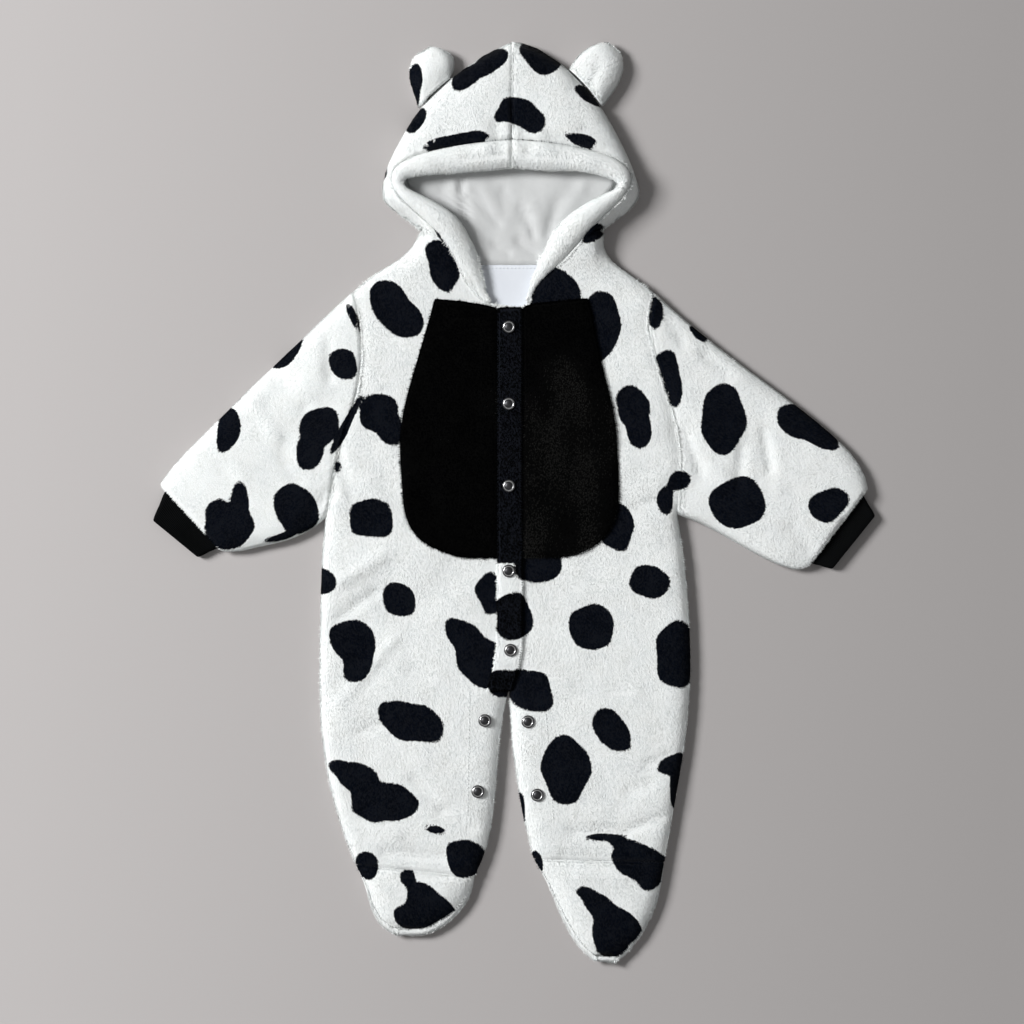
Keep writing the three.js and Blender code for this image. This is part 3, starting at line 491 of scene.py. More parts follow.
def plush_ground(name):
    """The knitted ground under the pile, mottled and fibrous, white or black by the spot attribute. Its white
    runs a little darker than the strands' as painted shade deep in the pile.
    """
    material, tree, shader = new_material(name)
    shader.inputs["Roughness"].default_value = 0.95
    shader.inputs["Specular IOR Level"].default_value = 0.1
    shader.inputs["Sheen Weight"].default_value = 0.04
    coordinates = fibre_bump(tree, shader, 900.0, 0.5, 0.0008)
    spot = add_node(tree, "ShaderNodeAttribute", attribute_name="spot")
    push = add_node(tree, "ShaderNodeMath", operation="MULTIPLY_ADD")
    push.inputs[1].default_value = 2 * RAGGED_EDGE
    push.inputs[2].default_value = -RAGGED_EDGE
    tree.links.new(mottling(tree, coordinates, 700.0), push.inputs[0])
    total = add_node(tree, "ShaderNodeMath", operation="ADD")
    tree.links.new(spot.outputs["Fac"], total.inputs[0])
    tree.links.new(push.outputs[0], total.inputs[1])
    share = add_node(tree, "ShaderNodeMapRange")
    share.inputs["From Min"].default_value = -EDGE_SOFTNESS
    share.inputs["From Max"].default_value = EDGE_SOFTNESS
    tree.links.new(total.outputs[0], share.inputs["Value"])
    # The white mottles at random, and is a little darker than the pile's whites as painted shade deep in the
    # pile
    white = mix_colours(tree, (0.8, 0.82, 0.82), (0.9, 0.92, 0.91), mottling(tree, coordinates, 45.0))
    mixed = mix_colours(tree, (0.003, 0.004, 0.007), None, share.outputs["Result"])
    tree.links.new(white.outputs[2], mixed.inputs[7])
    tree.links.new(mixed.outputs[2], shader.inputs["Base Color"])
    return material


def plain_cloth(name, low, high, roughness, scale, strength, distance, shine=0.1):
    material, tree, shader = new_material(name)
    shader.inputs["Roughness"].default_value = roughness
    shader.inputs["Specular IOR Level"].default_value = shine
    shader.inputs["Sheen Weight"].default_value = 0.3 * shine
    coordinates = fibre_bump(tree, shader, scale, strength, distance)
    colour = mix_colours(tree, low, high, mottling(tree, coordinates, 60.0))
    tree.links.new(colour.outputs[2], shader.inputs["Base Color"])
    return material


def pile_material(name, colour, sheen, specular=0.05, roughness=0.9):
    """The pile's strands: one even colour each, several of them in one piece."""
    material, _, shader = new_material(name)
    shader.inputs["Base Color"].default_value = (*colour, 1)
    shader.inputs["Roughness"].default_value = roughness
    shader.inputs["Specular IOR Level"].default_value = specular
    shader.inputs["Sheen Weight"].default_value = sheen
    return material


GROUND = plush_ground("spotted_plush_ground")
BLACK_GROUND = plain_cloth(
    "black_plush_ground", (0.001, 0.001, 0.001), (0.003, 0.003, 0.003), 0.95, 900, 0.5, 0.0006, 0)
# The hood lining's white is painted darker, as painted shade inside the hood; its mottling varies at random
SHADED_LINING_CLOTH = plain_cloth("lining_cloth_painted_shade", (0.54, 0.55, 0.55), (0.66, 0.67, 0.67), 0.85, 1600, 0.3, 0.0003)
FACING_CLOTH = plain_cloth("facing_cloth", (0.68, 0.71, 0.76), (0.76, 0.79, 0.84), 0.8, 1600, 0.25, 0.0002)
RIB_CLOTH = plain_cloth(
    "rib_cloth", (0.0012, 0.0014, 0.0016), (0.004, 0.0045, 0.0048), 0.85, 2200, 0.4, 0.0002, 0.04)
WHITES = [
    pile_material("pile_white", (0.9, 0.925, 0.915), 0.1),
    pile_material("pile_white_cool", (0.87, 0.9, 0.9), 0.1),
    pile_material("pile_white_warm", (0.9, 0.915, 0.9), 0.1),
]
SPOT_BLACKS = [
    pile_material("pile_navy_black", (0.0018, 0.0032, 0.0072), 0.01, 0.02),
    pile_material("pile_black", (0.002, 0.003, 0.0055), 0.01, 0.02),
    pile_material("pile_black_tip", (0.0055, 0.0075, 0.012), 0.03, 0.04),
]
# The belly's blacks: on the belly the two lighter ones are painted sheen, where the nap catches the light; on
# the placket the first two vary at random
BELLY_BLACKS = [
    pile_material("belly_black", (0.0008, 0.0008, 0.001), 0.0, 0.0),
    pile_material("belly_black_soft", (0.0028, 0.003, 0.0031), 0.0, 0.0),
    pile_material("belly_black_painted_sheen", (0.011, 0.011, 0.0105), 0.03, 0.03),
]


def metal(name, low, high, roughness):
    material, tree, shader = new_material(name)
    shader.inputs["Metallic"].default_value = 0.9
    shader.inputs["Roughness"].default_value = roughness
    coordinates = fibre_bump(tree, shader, 2600.0, 0.12, 0.00005)
    colour = mix_colours(tree, low, high, mottling(tree, coordinates, 700.0))
    tree.links.new(colour.outputs[2], shader.inputs["Base Color"])
    return material


STUD_METALS = [
    metal("gunmetal", (0.035, 0.035, 0.037), (0.075, 0.075, 0.08), 0.42),
    metal("bright_ring", (0.5, 0.5, 0.5), (0.72, 0.72, 0.72), 0.26),
]


# Cloth shells

# Corners this close are welded, in metres
WELD = 2e-5
# Walls that turn more than this, in radians, meet at a sewn edge, which stays this sharp from 0 to 1
SEWN_TURN = 0.9
SEWN_SHARPNESS = 0.85
# The longest edge of a shell's mesh, and the step between the points of its rims, in millimetres
LONGEST_EDGE = 6.0
RIM_STEP = 2


def is_sewn(edge):
    return len(edge.link_faces) == 2 and edge.calc_face_angle(0) > SEWN_TURN


def mesh_from_node(node):
    """A copy of the node's mesh, welded, in quads where two triangles make one, rounded between its rims."""
    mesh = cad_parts[node].data.copy()
    shape = bmesh.new()
    shape.from_mesh(mesh)
    bmesh.ops.remove_doubles(shape, verts=shape.verts, dist=WELD)
    bmesh.ops.join_triangles(
        shape, faces=shape.faces, angle_face_threshold=1.0, angle_shape_threshold=2.2,
        cmp_seam=False, cmp_sharp=False, cmp_uvs=False, cmp_vcols=False, cmp_materials=False,
    )
    creases = shape.edges.layers.float.new("crease_edge")
    for edge in shape.edges:
        edge[creases] = SEWN_SHARPNESS if is_sewn(edge) else 0
    shape.to_mesh(mesh)
    shape.free()
    piece = add_object("cloth_" + node, mesh)
    rounding = piece.modifiers.new("rounding", "SUBSURF")
    rounding.levels = rounding.render_levels = 1
    return piece


def apply_modifiers(piece):
    depsgraph = bpy.context.evaluated_depsgraph_get()
    mesh = bpy.data.meshes.new_from_object(piece.evaluated_get(depsgraph))
    piece.modifiers.clear()
    old = piece.data
    piece.data = mesh
    bpy.data.meshes.remove(old)


def refine(piece):
    """Cuts edges that are longer than the longest edge allowed."""
    shape = bmesh.new()
    shape.from_mesh(piece.data)
    for _ in range(3):
        long_edges = [edge for edge in shape.edges if edge.calc_length() > LONGEST_EDGE * MM]
        if not long_edges:
            break
        bmesh.ops.subdivide_edges(shape, edges=long_edges, cuts=1, use_grid_fill=True, smooth=0)
    shape.to_mesh(piece.data)
    shape.free()


def coordinates_of(mesh):
    values = np.empty(len(mesh.vertices) * 3, np.float32)
    mesh.vertices.foreach_get("co", values)
    return values.reshape(-1, 3).astype(float)


def normals_of(mesh):
    values = np.empty(len(mesh.vertices) * 3, np.float32)
    mesh.vertex_normals.foreach_get("vector", values)
    return values.reshape(-1, 3).astype(float)


def set_coordinates(mesh, values):
    mesh.vertices.foreach_set("co", values.astype(np.float32).ravel())
    mesh.update()


def rim_points(node):
    """Points in millimetres along the edges where the node's wall turns sharply, which are its sewn edges."""
    shape = bmesh.new()
    shape.from_mesh(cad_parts[node].data)
    bmesh.ops.remove_doubles(shape, verts=shape.verts, dist=WELD)
    found = []
    for edge in shape.edges:
        if is_sewn(edge):
            start, end = (vertex.co / MM for vertex in edge.verts)
            steps = max(1, int((end - start).length / RIM_STEP))
            found += [start.lerp(end, i / steps) for i in range(steps + 1)]
    shape.free()
    return found


def point_tree(points):
    tree = KDTree(len(points))
    for i, point in enumerate(points):
        tree.insert(point, i)
    tree.balance()
    return tree


# How deep and how wide the groove along a sewn edge is, in millimetres
SEAM_GROOVES = {
    "top": (0.8, 5.5), "back": (0.7, 4.5), "both": (0.45, 5.0), "plain": (0.6, 5.0),
    "placket": (0.5, 2.6), "black": (0.8, 3.0), "lining": (0.3, 2.0), "rib": (0.5, 2.0),
}
# How far a plush piece's rims are moved out, so that sewn neighbours meet, and how near the edge
SEAM_CLOSING = 0.6
HOOD_CLOSING = 1.4
CLOSING_WIDTH = 1.5

# Creases fade in over this height above this Z, and the lining's over this distance from its edge
CREASE_FROM_Z = 8
CREASE_FADE = 3
LINING_FADE = 9
# Unevenness of the plush: height and length in millimetres, and the noise's number
BROAD_WAVE = (0.75, 26, 1)
FINE_WAVE = (0.24, 11, 2)
# No shell is lower than this above the floor
LOWEST_CLOTH = 0.03

# From this Y on the neck facing is tucked under the lining, by this much after so many millimetres
FACING_TUCK_Y = 200
FACING_TUCK = 1.0
FACING_TUCK_RUN = 5


def wave(points, row):
    height, length, seed = row
    return height * wave_noise(points, length, seed)


def shape_cloth(node, points, normals, edge):
    """Adds the creases, the unevenness and the seams to a shell's points, in millimetres."""
    kind = PLUSH_NODES[node][3]
    x, y, z = points.T
    if kind == "lining":
        lift = LINING_DEPTH * crease_height(x, y, LINING_CREASES) * np.clip(edge / LINING_FADE, 0, 1)
    else:
        shown = np.clip((z - CREASE_FROM_Z) / CREASE_FADE, 0, 1)
        lift = CREASE_DEPTH * crease_height(x, y, CREASES) * shown
        lift += wave(points, BROAD_WAVE) + wave(points, FINE_WAVE)
    depth, width = SEAM_GROOVES[kind]
    lift -= depth * np.exp(-(edge / width) ** 2)
    points[:, 2] += lift * np.clip(normals[:, 2], 0, 1)
    if kind not in ("lining", "black", "placket"):
        closing = HOOD_CLOSING if node.startswith("hood") else SEAM_CLOSING
        points[:, :2] += normals[:, :2] * (closing * np.exp(-(edge / CLOSING_WIDTH) ** 2))[:, None]
    points[:, 2] = np.maximum(points[:, 2], LOWEST_CLOTH)
    if node == "neck_facing":
        points[:, 1] += FACING_TUCK * np.clip((y - FACING_TUCK_Y) / FACING_TUCK_RUN, 0, 1)


def build_shell(node):
    piece = mesh_from_node(node)
    apply_modifiers(piece)
    refine(piece)
    mesh = piece.data
    points = coordinates_of(mesh) / MM
    kind = PLUSH_NODES[node][3]
    rims = RIMS[node] = point_tree(rim_points(node))
    edge = np.array([rims.find(point)[2] for point in points])
    shape_cloth(node, points, normals_of(mesh), edge)
    set_coordinates(mesh, points * MM)
    values = np.full(len(points), ALL_WHITE) if kind == "lining" else spot_values(node, *points.T)
    spot = mesh.attributes.new("spot", "FLOAT", "POINT")
    spot.data.foreach_set("value", values.astype(np.float32))
    smooth(mesh)
    mesh.materials.clear()
    material = {"black": BLACK_GROUND, "lining": SHADED_LINING_CLOTH}.get(kind, GROUND)
    if node == "neck_facing":
        material = FACING_CLOTH
    mesh.materials.append(material)
    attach(piece, "root")
    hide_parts(node)
    EDGES[node] = edge
    return piece


# The sewn edges of each shell, and how far each of its vertices is from them in millimetres
RIMS = {}
EDGES = {}
SHELLS = {node: build_shell(node) for node in PLUSH_NODES if not node.startswith("cuff")}

# Pile: short strands that lie over, each coloured by the spot at its middle

# Which way the pile lies, where that isn't straight down
NAPS = {
    "sleeve_right": (-0.8, -0.62),
    "sleeve_left": (0.82, -0.58),
    "ear_front_right": (-0.5, 0.86),
    "ear_front_left": (0.6, 0.8),
    "ear_back_right": (-0.5, 0.86),
    "ear_back_left": (0.6, 0.8),
}
PILE_NODES = [node for node in PLUSH_NODES if PLUSH_NODES[node][3] not in ("lining", "rib")]
# Strands to a square millimetre: on top, underneath, and more within this distance of a sewn edge
TOP_DENSITY = 1.05
UNDER_DENSITY = 0.2
RIM_DENSITY = 0.8
RIM_WIDTH = 3
# Faces that face down more than this count as the underside
UNDER_FACING = -0.1
# A face is covered where other cloth is this near over it, or under it on the underside
COVER_REACH = 2.2
COVER_REACH_BELOW = 12.0
BELOW_FACING = -0.2
CLEAR_OF_SELF = 0.15
# Length, and the shares of it that strands have
PILE_LENGTH = 2.5
BELLY_PILE_LENGTH = 2.0
LENGTH_SHARES = (0.75, 1.2)
HALF_WIDTHS = (0.4, 0.62)
ROOT_DEPTH = 0.3
LOWEST_STRAND = 0.05
# How the nap turns, in radians: the amount, length and number of two noises, and each strand's own spread
NAP_TURNS = ((0.6, 30, 3), (0.45, 8, 4))
NAP_SPREAD = 0.35
# How far strands lean from upright, in degrees, with their spread, and how flat they lie where they face down
LEAN = 76
LEAN_SPREAD = 5
LEAN_LESS_AT_SEAM = 12
LEAN_UNDERNEATH = 84
FACES_DOWN = -0.3
# Strands this near a sewn edge, in millimetres, lie over it where the cloth faces up at least this much
OVER_SEAM = 2.4
FLAT_ENOUGH = 0.8
TOWARDS_SEAM = 2.5
# How much longer strands at a seam can be
LONGER_ON_BELLY = 1.8
LONGER_ON_HOOD = 1.7
LONGER_ELSEWHERE = 1.4
# How far a strand's shading follows the cloth under it, from 0 to 1, as fine fur scatters light
SOFT_SHADING = 0.72


def triangles_of(mesh):
    mesh.calc_loop_triangles()
    corners = np.empty(len(mesh.loop_triangles) * 3, np.int32)
    mesh.loop_triangles.foreach_get("vertices", corners)
    return corners.reshape(-1, 3)


def unit(vectors):
    return vectors / np.maximum(np.linalg.norm(vectors, axis=1, keepdims=True), 1e-9)


def covered(centres, normals, tree):
    """Whether other cloth lies over a face, so that no strand of it shows."""
    hidden = np.zeros(len(centres), bool)
    for i, (centre, normal) in enumerate(zip(centres, normals)):
        reach = COVER_REACH_BELOW if normal[2] < BELOW_FACING else COVER_REACH
        direction = Vector(normal)
        hit = tree.ray_cast(Vector(centre) + direction * CLEAR_OF_SELF, direction, reach)
        hidden[i] = hit[0] is not None
    return hidden


def cloth_tree():
    corners, faces, start = [], [], 0
    for piece in SHELLS.values():
        points = coordinates_of(piece.data) / MM
        corners.append(points)
        faces.append(triangles_of(piece.data) + start)
        start += len(points)
    return BVHTree.FromPolygons(np.concatenate(corners).tolist(), np.concatenate(faces).tolist())


def strand_roots(node, points, normals, triangles, tree):
    a, b, c = (points[triangles[:, i]] for i in range(3))
    cross = np.cross(b - a, c - a)
    area = np.linalg.norm(cross, axis=1) / 2
    face_normals = unit(cross)
    shown = ~covered((a + b + c) / 3, face_normals, tree)
    near_rim = EDGES[node][triangles].mean(axis=1) < RIM_WIDTH
    on_top = face_normals[:, 2] > UNDER_FACING
    density = np.where(on_top, TOP_DENSITY + RIM_DENSITY * near_rim, UNDER_DENSITY)
    counts = RNG.poisson(area * density * shown)
    index = np.repeat(np.arange(len(triangles)), counts)
    u, v = RNG.random(len(index)), RNG.random(len(index))
    over = u + v > 1
    u[over], v[over] = 1 - u[over], 1 - v[over]
    w = 1 - u - v
    corner = triangles[index]
    weights = (w[:, None], u[:, None], v[:, None])
    roots = sum(points[corner[:, i]] * weights[i] for i in range(3))
    facing = unit(sum(normals[corner[:, i]] * weights[i] for i in range(3)))
    edge = sum(EDGES[node][corner[:, i]] * weights[i][:, 0] for i in range(3))
    return roots, facing, edge


def longest_at_seam(node):
    if PLUSH_NODES[node][3] == "black":
        return LONGER_ON_BELLY
    return LONGER_ON_HOOD if node.startswith("hood") else LONGER_ELSEWHERE


def strand_mesh(node, roots, facing, edge, length):
    """One tapering triangle for each strand, leaning along the nap, and the strands' middles."""
    count = len(roots)
    nap = np.zeros((count, 3))
    nap[:, :2] = NAPS.get(node, (0, -1))
    turn = wave(roots, NAP_TURNS[0]) + wave(roots, NAP_TURNS[1]) + RNG.normal(0, NAP_SPREAD, count)
    cos, sin = np.cos(turn), np.sin(turn)
    turned_x = nap[:, 0] * cos - nap[:, 1] * sin
    turned_y = nap[:, 0] * sin + nap[:, 1] * cos
    nap = np.stack([turned_x, turned_y, nap[:, 2]], axis=1)
    at_seam = (edge < OVER_SEAM) & (facing[:, 2] > FLAT_ENOUGH)
    for i in np.nonzero(at_seam)[0]:
        to_seam = RIMS[node].find(roots[i])[0] - Vector(roots[i])
        nap[i] += TOWARDS_SEAM * np.array(to_seam.normalized())
    along = unit(nap - facing * np.sum(nap * facing, axis=1, keepdims=True))
    across = np.cross(facing, along)
    reach = length * RNG.uniform(*LENGTH_SHARES, count)
    reach[at_seam] *= RNG.uniform(1.0, longest_at_seam(node), np.count_nonzero(at_seam))
    lean = np.radians(RNG.normal(LEAN, LEAN_SPREAD, count) - LEAN_LESS_AT_SEAM * at_seam)
    lean[facing[:, 2] < FACES_DOWN] = np.radians(LEAN_UNDERNEATH)
    tips = roots + facing * (reach * np.cos(lean))[:, None] + along * (reach * np.sin(lean))[:, None]
    half = RNG.uniform(*HALF_WIDTHS, count)[:, None] * across
    base = roots - facing * ROOT_DEPTH
    corners = np.stack([base + half, base - half, tips], axis=1)
    corners[:, :, 2] = np.maximum(corners[:, :, 2], LOWEST_STRAND)
    own = unit(np.cross(corners[:, 1] - corners[:, 0], corners[:, 2] - corners[:, 0]))
    shading = unit(facing * SOFT_SHADING + own * (1 - SOFT_SHADING))
    corners = corners.reshape(-1, 3)
    mesh = bpy.data.meshes.new("pile_" + node)
    mesh.vertices.add(3 * count)
    mesh.loops.add(3 * count)
    mesh.polygons.add(count)
    mesh.vertices.foreach_set("co", (corners * MM).astype(np.float32).ravel())
    mesh.loops.foreach_set("vertex_index", np.arange(3 * count, dtype=np.int32))
    mesh.polygons.foreach_set("loop_start", np.arange(0, 3 * count, 3, dtype=np.int32))
    mesh.polygons.foreach_set("use_smooth", np.ones(count, bool))
    mesh.update(calc_edges=True)
    mesh.normals_split_custom_set_from_vertices(np.repeat(shading, 3, axis=0).tolist())
    return mesh, (roots + tips) / 2


# Shades of the pile: the noise's length and number, the spread, and the limits between the three shades
SHADE_WAVE = (14, 6)
SHADE_SPREAD = 0.3
SHADE_LIMITS = (0.35, -0.25)
# From this X on the belly is painted lighter, as painted sheen where the nap catches the light, in patches
# drawn out along the nap, but not above this Y
SHEEN_WAVE = (19, 8)
SHEEN_STRETCH = (1, 0.45, 1)
SHEEN_SPREAD = 0.22
SHEEN_LIMITS = (0.25, -0.3)
SHEEN_FROM_X = 8
SHEEN_MORE = 0.2
SHEEN_LESS = 0.6
SHEEN_TO_Y = 120
SHEEN_FADE = 25
# The spread of a spot's edge between strands, in millimetres
EDGE_SPREAD = 0.25


def strand_slots(node, middles):
    """Which of its piece's materials each strand has: three whites, then three blacks."""
    count = len(middles)
    x, y, _ = middles.T
    shade = wave_noise(middles, *SHADE_WAVE) + RNG.normal(0, SHADE_SPREAD, count)
    slot = np.where(shade > SHADE_LIMITS[0], 2, np.where(shade < SHADE_LIMITS[1], 1, 0))
    if PLUSH_NODES[node][3] == "black":
        # On the belly the lighter strands are painted sheen, in patches where the nap catches the light
        stretched = middles * np.array(SHEEN_STRETCH)
        sheen_noise = wave_noise(stretched, *SHEEN_WAVE) + RNG.normal(0, SHEEN_SPREAD, count)
        painted_sheen = np.where(x > SHEEN_FROM_X, sheen_noise + SHEEN_MORE, sheen_noise - SHEEN_LESS)
        painted_sheen -= np.clip((y - SHEEN_TO_Y) / SHEEN_FADE, 0, 1)
        return 3 + np.where(painted_sheen > SHEEN_LIMITS[0], 2, np.where(painted_sheen > SHEEN_LIMITS[1], 1, 0))
    black = spot_values(node, *middles.T) + RNG.normal(0, EDGE_SPREAD, count) < 0
    if PLUSH_NODES[node][3] == "placket":
        slot = np.minimum(slot, 1)
    return slot + np.where(black, 3, 0)


def add_pile(node, tree):
    shell = SHELLS[node]
    points = coordinates_of(shell.data) / MM
    normals = normals_of(shell.data)
    roots, facing, edge = strand_roots(node, points, normals, triangles_of(shell.data), tree)
    kind = PLUSH_NODES[node][3]
    length = BELLY_PILE_LENGTH if kind == "black" else PILE_LENGTH
    mesh, middles = strand_mesh(node, roots, facing, edge, length)
    for material in WHITES + (BELLY_BLACKS if kind in ("black", "placket") else SPOT_BLACKS):
        mesh.materials.append(material)
    mesh.polygons.foreach_set("material_index", strand_slots(node, middles).astype(np.int32))
    pile = add_object("pile_" + node, mesh)
    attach(pile, "root")
    PILES[node] = pile


CLOTH_TREE = cloth_tree()
PILES = {}
for plush_node in PILE_NODES:
    add_pile(plush_node, CLOTH_TREE)

# Cuffs: ribbed tubes, flattened, with an open mouth. Corners run from the sleeve's end to the mouth.

CUFF_CORNERS = {
    "cuff_right": ((-299.8, 12.4), (-253.7, -37.1), (-311, -14), (-272, -46)),
    "cuff_left": ((299.8, 8.6), (254.6, -50.6), (311, -10), (274, -56)),
}
CUFF_HALF_HEIGHT = 3.95
CUFF_LIFT = 0.05
RIB_PITCH = 2.5
RIB_DEPTH = 0.32
POINTS_A_RIB = 6
# Rings: share of the way to the mouth, how far inside the outer face, and how much of the ribs shows.
# They run along the outside, round the mouth and back along the inside.
CUFF_RINGS = [
    (-0.12, 0.2, 0.6), (0, 0, 0.8), (0.06, 0, 1), (0.2, -0.25, 1), (0.35, -0.1, 1), (0.5, 0.05, 1),
    (0.65, -0.1, 1), (0.8, -0.2, 1), (0.92, -0.05, 1), (0.975, 0.25, 0.9), (1, 0.9, 0.5), (0.99, 1.5, 0.3),
    (0.95, 2.0, 0.3), (0.8, 2.2, 0.3), (0.5, 2.2, 0.3), (0.1, 2.2, 0.3), (-0.1, 2.0, 0.3), (-0.13, 1, 0.3),
]
# Rings further in than this are the inside, whose ribs point the other way
INSIDE_FROM = 1


def flat_ring(half_width, half_height, shares):
    """Points round a flattened tube at each share of the way: places across and up, and the way out."""
    flat = 2 * (half_width - half_height)
    round_end = math.pi * half_height
    whole = 2 * (flat + round_end)
    found = []
    for share in shares:
        run = share * whole
        over = run < flat + round_end
        run = run if over else run - flat - round_end
        sign = 1 if over else -1
        if run < flat:
            found.append((sign * (run - flat / 2), sign * half_height, 0, sign))
        else:
            angle = (run - flat) / half_height
            across, up = math.sin(angle) * sign, math.cos(angle) * sign
            found.append((sign * flat / 2 + across * half_height, up * half_height, across, up))
    return found


def build_cuff(node):
    start, far_start, end, far_end = (Vector((*corner, 0)) for corner in CUFF_CORNERS[node])
    perimeter = 2 * ((start - far_start).length + (end - far_end).length)
    ribs = round(perimeter / RIB_PITCH)
    count = ribs * POINTS_A_RIB
    shares = [i / count for i in range(count)]
    corners = []
    for along, inset, ribbing in CUFF_RINGS:
        one, other = start.lerp(end, along), far_start.lerp(far_end, along)
        if along < 0:
            one, other = start + (end - start) * along, far_start + (far_end - far_start) * along
        middle, side = (one + other) / 2, (one - other).normalized()
        half_width = (one - other).length / 2 - inset
        ring = flat_ring(half_width, CUFF_HALF_HEIGHT - inset, shares)
        for i, (across, up, out_across, out_up) in enumerate(ring):
            rib = RIB_DEPTH * ribbing * (math.cos(2 * math.pi * i / POINTS_A_RIB) - 1)
            if inset > INSIDE_FROM:
                rib = -rib
            place = middle + side * (across + out_across * rib)
            height = CUFF_HALF_HEIGHT + CUFF_LIFT + up + out_up * rib
            corners.append((place.x, place.y, max(CUFF_LIFT, height)))
    faces = []
    rings = len(CUFF_RINGS)
    for ring in range(rings):
        after = (ring + 1) % rings
        for i in range(count):
            j = (i + 1) % count
            faces.append((ring * count + i, ring * count + j, after * count + j, after * count + i))
    mesh = bpy.data.meshes.new("cloth_" + node)
    mesh.from_pydata([tuple(value * MM for value in corner) for corner in corners], [], faces)
    shape = bmesh.new()
    shape.from_mesh(mesh)
    bmesh.ops.recalc_face_normals(shape, faces=shape.faces)
    shape.to_mesh(mesh)
    shape.free()
    smooth(mesh)
    mesh.materials.append(RIB_CLOTH)
    piece = add_object("cloth_" + node, mesh)
    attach(piece, "root")
    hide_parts(node)
    SHELLS[node] = piece


for cuff in CUFF_CORNERS:
    build_cuff(cuff)

# Press studs: share of the stud's radius, share of its height, and which metal runs outward from there
STUD_PROFILE = [
    (0, 0.9, 0), (0.2, 0.88, 0), (0.4, 0.8, 0), (0.54, 0.62, 0), (0.6, 0.56, 0), (0.64, 0.66, 1),
    (0.69, 0.84, 1), (0.74, 0.88, 1), (0.79, 0.8, 1), (0.83, 0.66, 0), (0.88, 0.7, 0), (0.93, 0.74, 0),
    (0.98, 0.62, 0), (1, 0.42, 0), (1, 0.1, 0), (0.94, 0, 0),
]
STUD_SIDES = 48
STUD_NODES = [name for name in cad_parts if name.startswith("snap_")]


def build_stud(node):
    low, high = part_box(node)
    middle_x, middle_y = (low[0] + high[0]) / 2, (low[1] + high[1]) / 2
    radius, height = (high[0] - low[0]) / 2, high[2] - low[2]
    corners = [(middle_x, middle_y, low[2] + STUD_PROFILE[0][1] * height)]
    for share, up, _ in STUD_PROFILE[1:]:
        for i in range(STUD_SIDES):
            angle = 2 * math.pi * i / STUD_SIDES
            corners.append((
                middle_x + radius * share * math.cos(angle),
                middle_y + radius * share * math.sin(angle),
                low[2] + up * height,
            ))
    faces, metals = [], []
    for i in range(STUD_SIDES):
        faces.append((0, 1 + i, 1 + (i + 1) % STUD_SIDES))
        metals.append(0)
    for ring in range(len(STUD_PROFILE) - 2):
        inner, outer = 1 + ring * STUD_SIDES, 1 + (ring + 1) * STUD_SIDES
        for i in range(STUD_SIDES):
            j = (i + 1) % STUD_SIDES
            faces.append((inner + i, outer + i, outer + j, inner + j))
            metals.append(STUD_PROFILE[ring + 1][2])
    last = 1 + (len(STUD_PROFILE) - 2) * STUD_SIDES
    faces.append(tuple(last + i for i in reversed(range(STUD_SIDES))))
    metals.append(0)
    mesh = bpy.data.meshes.new("stud_" + node)
    mesh.from_pydata(corners, [], faces)
    for material in STUD_METALS:
        mesh.materials.append(material)
    mesh.polygons.foreach_set("material_index", metals)
    for polygon in mesh.polygons:
        polygon.use_smooth = len(polygon.vertices) <= 4
    piece = add_object("stud_" + node, mesh)
    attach(piece, "root")
    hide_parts(node)


for stud in STUD_NODES:
    build_stud(stud)

# Topstitching: runs from x, y to x, y, which show as short threads lying in the pile
STITCH_RUNS = {
    "stitches_dark": [(6.9, 168, 6.9, -48), (-14.2, 168, -14.2, -48)],
    "stitches_white": [
        (6.9, -54, 6.2, -138),
        (-38, -160, -40, -272),
        (26, -160, 34, -272),
        (-27, 203, 22, 203),
    ],
}
STITCH_LENGTH = 2.4
STITCH_STEP = 3.3
STITCH_HALF_WIDTH = 0.32
STITCH_HALF_HEIGHT = 0.3
# How far a stitch's middle and its ends are over the cloth
STITCH_LIFT = 0.75
STITCH_END_LIFT = 0.1
# White stitches aren't seen within this distance of a spot
HIDDEN_BY_SPOT = 1
ABOVE_ALL = 60
THROUGH_ALL = 80
NO_CLOTH_Z = 15


def cloth_height(x, y):
    hit = CLOTH_TREE.ray_cast(Vector((x, y, ABOVE_ALL)), Vector((0, 0, -1)), THROUGH_ALL)[0]
    return hit.z if hit else NO_CLOTH_Z


def build_stitches(name, material):
    corners, faces = [], []
    up = Vector((0, 0, STITCH_HALF_HEIGHT))
    for from_x, from_y, to_x, to_y in STITCH_RUNS[name]:
        start, end = Vector((from_x, from_y, 0)), Vector((to_x, to_y, 0))
        along = (end - start).normalized()
        side = Vector((-along.y, along.x, 0))
        for step in range(int((end - start).length / STITCH_STEP)):
            middle = start + along * (step * STITCH_STEP + STITCH_LENGTH / 2)
            to_spot = spot_distance(np.array([middle.x]), np.array([middle.y]), SPOTS)[0]
            if to_spot < HIDDEN_BY_SPOT and name == "stitches_white":
                continue
            ends = []
            for share in (-0.5, 0, 0.5):
                place = middle + along * (STITCH_LENGTH * share)
                lift = STITCH_LIFT if share == 0 else STITCH_END_LIFT
                ends.append(Vector((place.x, place.y, cloth_height(place.x, place.y) + lift)))
            first = len(corners)
            out = side * STITCH_HALF_WIDTH
            ring = [ends[1] + out, ends[1] + up, ends[1] - out, ends[1] - up]
            corners += [ends[0], *ring, ends[2]]
            for i in range(4):
                j = (i + 1) % 4
                faces += [(first, first + 1 + i, first + 1 + j), (first + 5, first + 1 + j, first + 1 + i)]
    mesh = bpy.data.meshes.new(name)
    mesh.from_pydata([tuple(corner * MM) for corner in corners], [], faces)
    mesh.materials.append(material)
    smooth(mesh)
    piece = add_object(name, mesh)
    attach(piece, "root")
    return piece


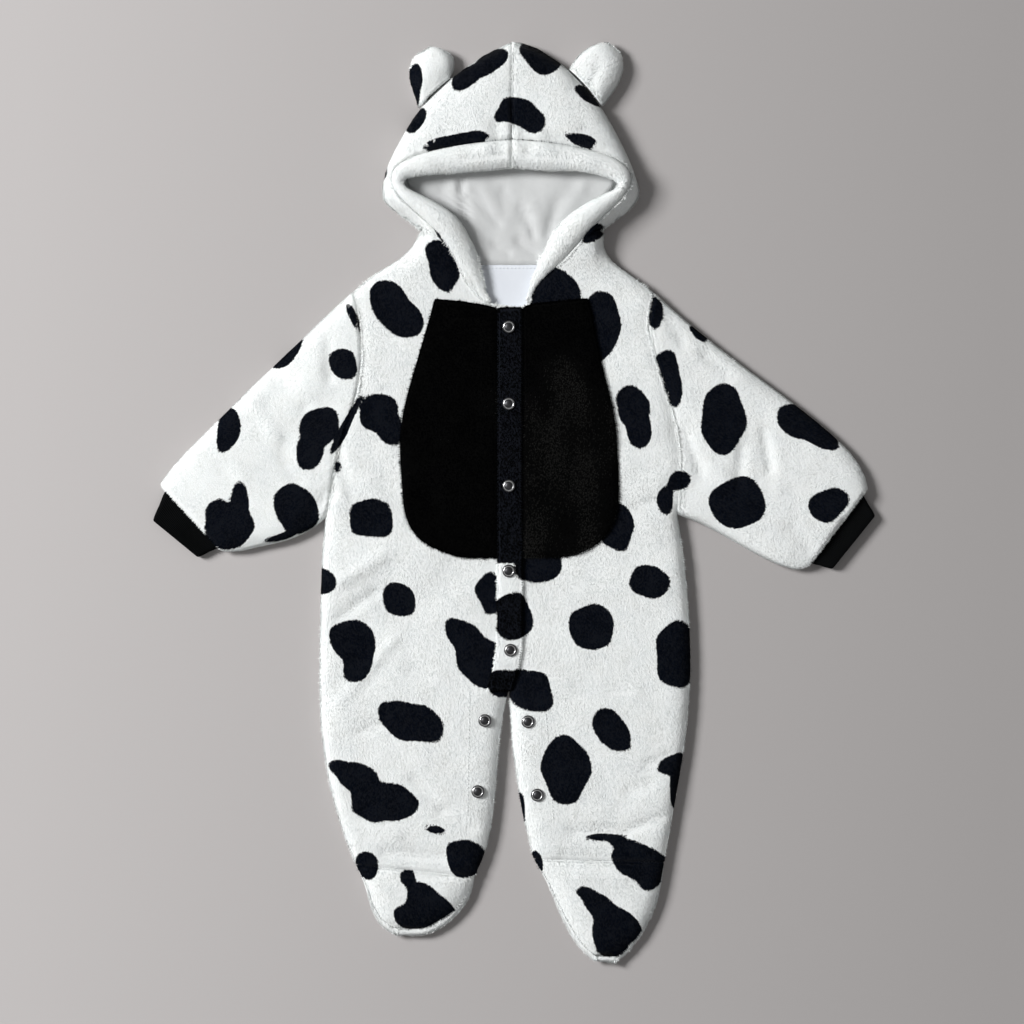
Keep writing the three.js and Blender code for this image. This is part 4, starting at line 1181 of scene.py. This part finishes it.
STITCHES = [
    build_stitches("stitches_dark", SPOT_BLACKS[2]),
    build_stitches("stitches_white", WHITES[1]),
]

# Every piece is cut cloth laid flat. What lies on each, its pile and on the placket the stitches, is gathered
# here, and nothing further is done with it.
for node, piece in SHELLS.items():
    extra = [PILES[node]] if node in PILES else []
    extra += STITCHES if node == "placket" else []


# Floor and light. The floor's colour is painted darker to the right, over the picture's width, as painted
# fall-off of the light.

FLOOR_HALF = 6
FLOOR_Z = -0.0006
FLOOR_SHADE_FADE_HALF = 0.42
FLOOR_LIT_LEFT = (0.5, 0.478, 0.473)
FLOOR_SHADED_RIGHT = (0.37, 0.353, 0.349)
# Lights: name, place in metres, size in metres and power in watts
LIGHTS = [
    ("key", (-4.5, 1.65, 3.75), 1.95, 478),
    ("fill", (0.6, -1.0, 2.2), 2.2, 5),
]
WORLD_STRENGTH = 0.17


def add_floor():
    mesh = bpy.data.meshes.new("floor")
    signs = ((-1, -1), (1, -1), (1, 1), (-1, 1))
    mesh.from_pydata([(x * FLOOR_HALF, y * FLOOR_HALF, FLOOR_Z) for x, y in signs], [], [(0, 1, 2, 3)])
    floor = add_object("floor", mesh)
    material, tree, shader = new_material("floor")
    shader.inputs["Roughness"].default_value = 0.9
    place = add_node(tree, "ShaderNodeTexCoord")
    parts = add_node(tree, "ShaderNodeSeparateXYZ")
    across = add_node(tree, "ShaderNodeMapRange")
    across.inputs["From Min"].default_value = -FLOOR_SHADE_FADE_HALF
    across.inputs["From Max"].default_value = FLOOR_SHADE_FADE_HALF
    tree.links.new(place.outputs["Object"], parts.inputs[0])
    tree.links.new(parts.outputs[0], across.inputs["Value"])
    # Painted shade: the floor's colour darkens from left to right as the light's fall-off
    colour = mix_colours(tree, FLOOR_LIT_LEFT, FLOOR_SHADED_RIGHT, across.outputs["Result"])
    tree.links.new(colour.outputs[2], shader.inputs["Base Color"])
    mesh.materials.append(material)


def add_area(name, location, size, power):
    """An area light that faces the origin."""
    data = bpy.data.lights.new(name, "AREA")
    data.size = size
    data.energy = power
    light = add_object(name, data)
    light.location = location
    light.rotation_euler = (-Vector(location)).to_track_quat("-Z", "Y").to_euler()


add_floor()
for light_row in LIGHTS:
    add_area(*light_row)
world = bpy.data.worlds.new("world")
world.use_nodes = True
background = world.node_tree.nodes["Background"]
background.inputs["Color"].default_value = (1, 1, 1, 1)
background.inputs["Strength"].default_value = WORLD_STRENGTH
bpy.context.scene.world = world
bpy.context.scene.view_settings.view_transform = "Standard"
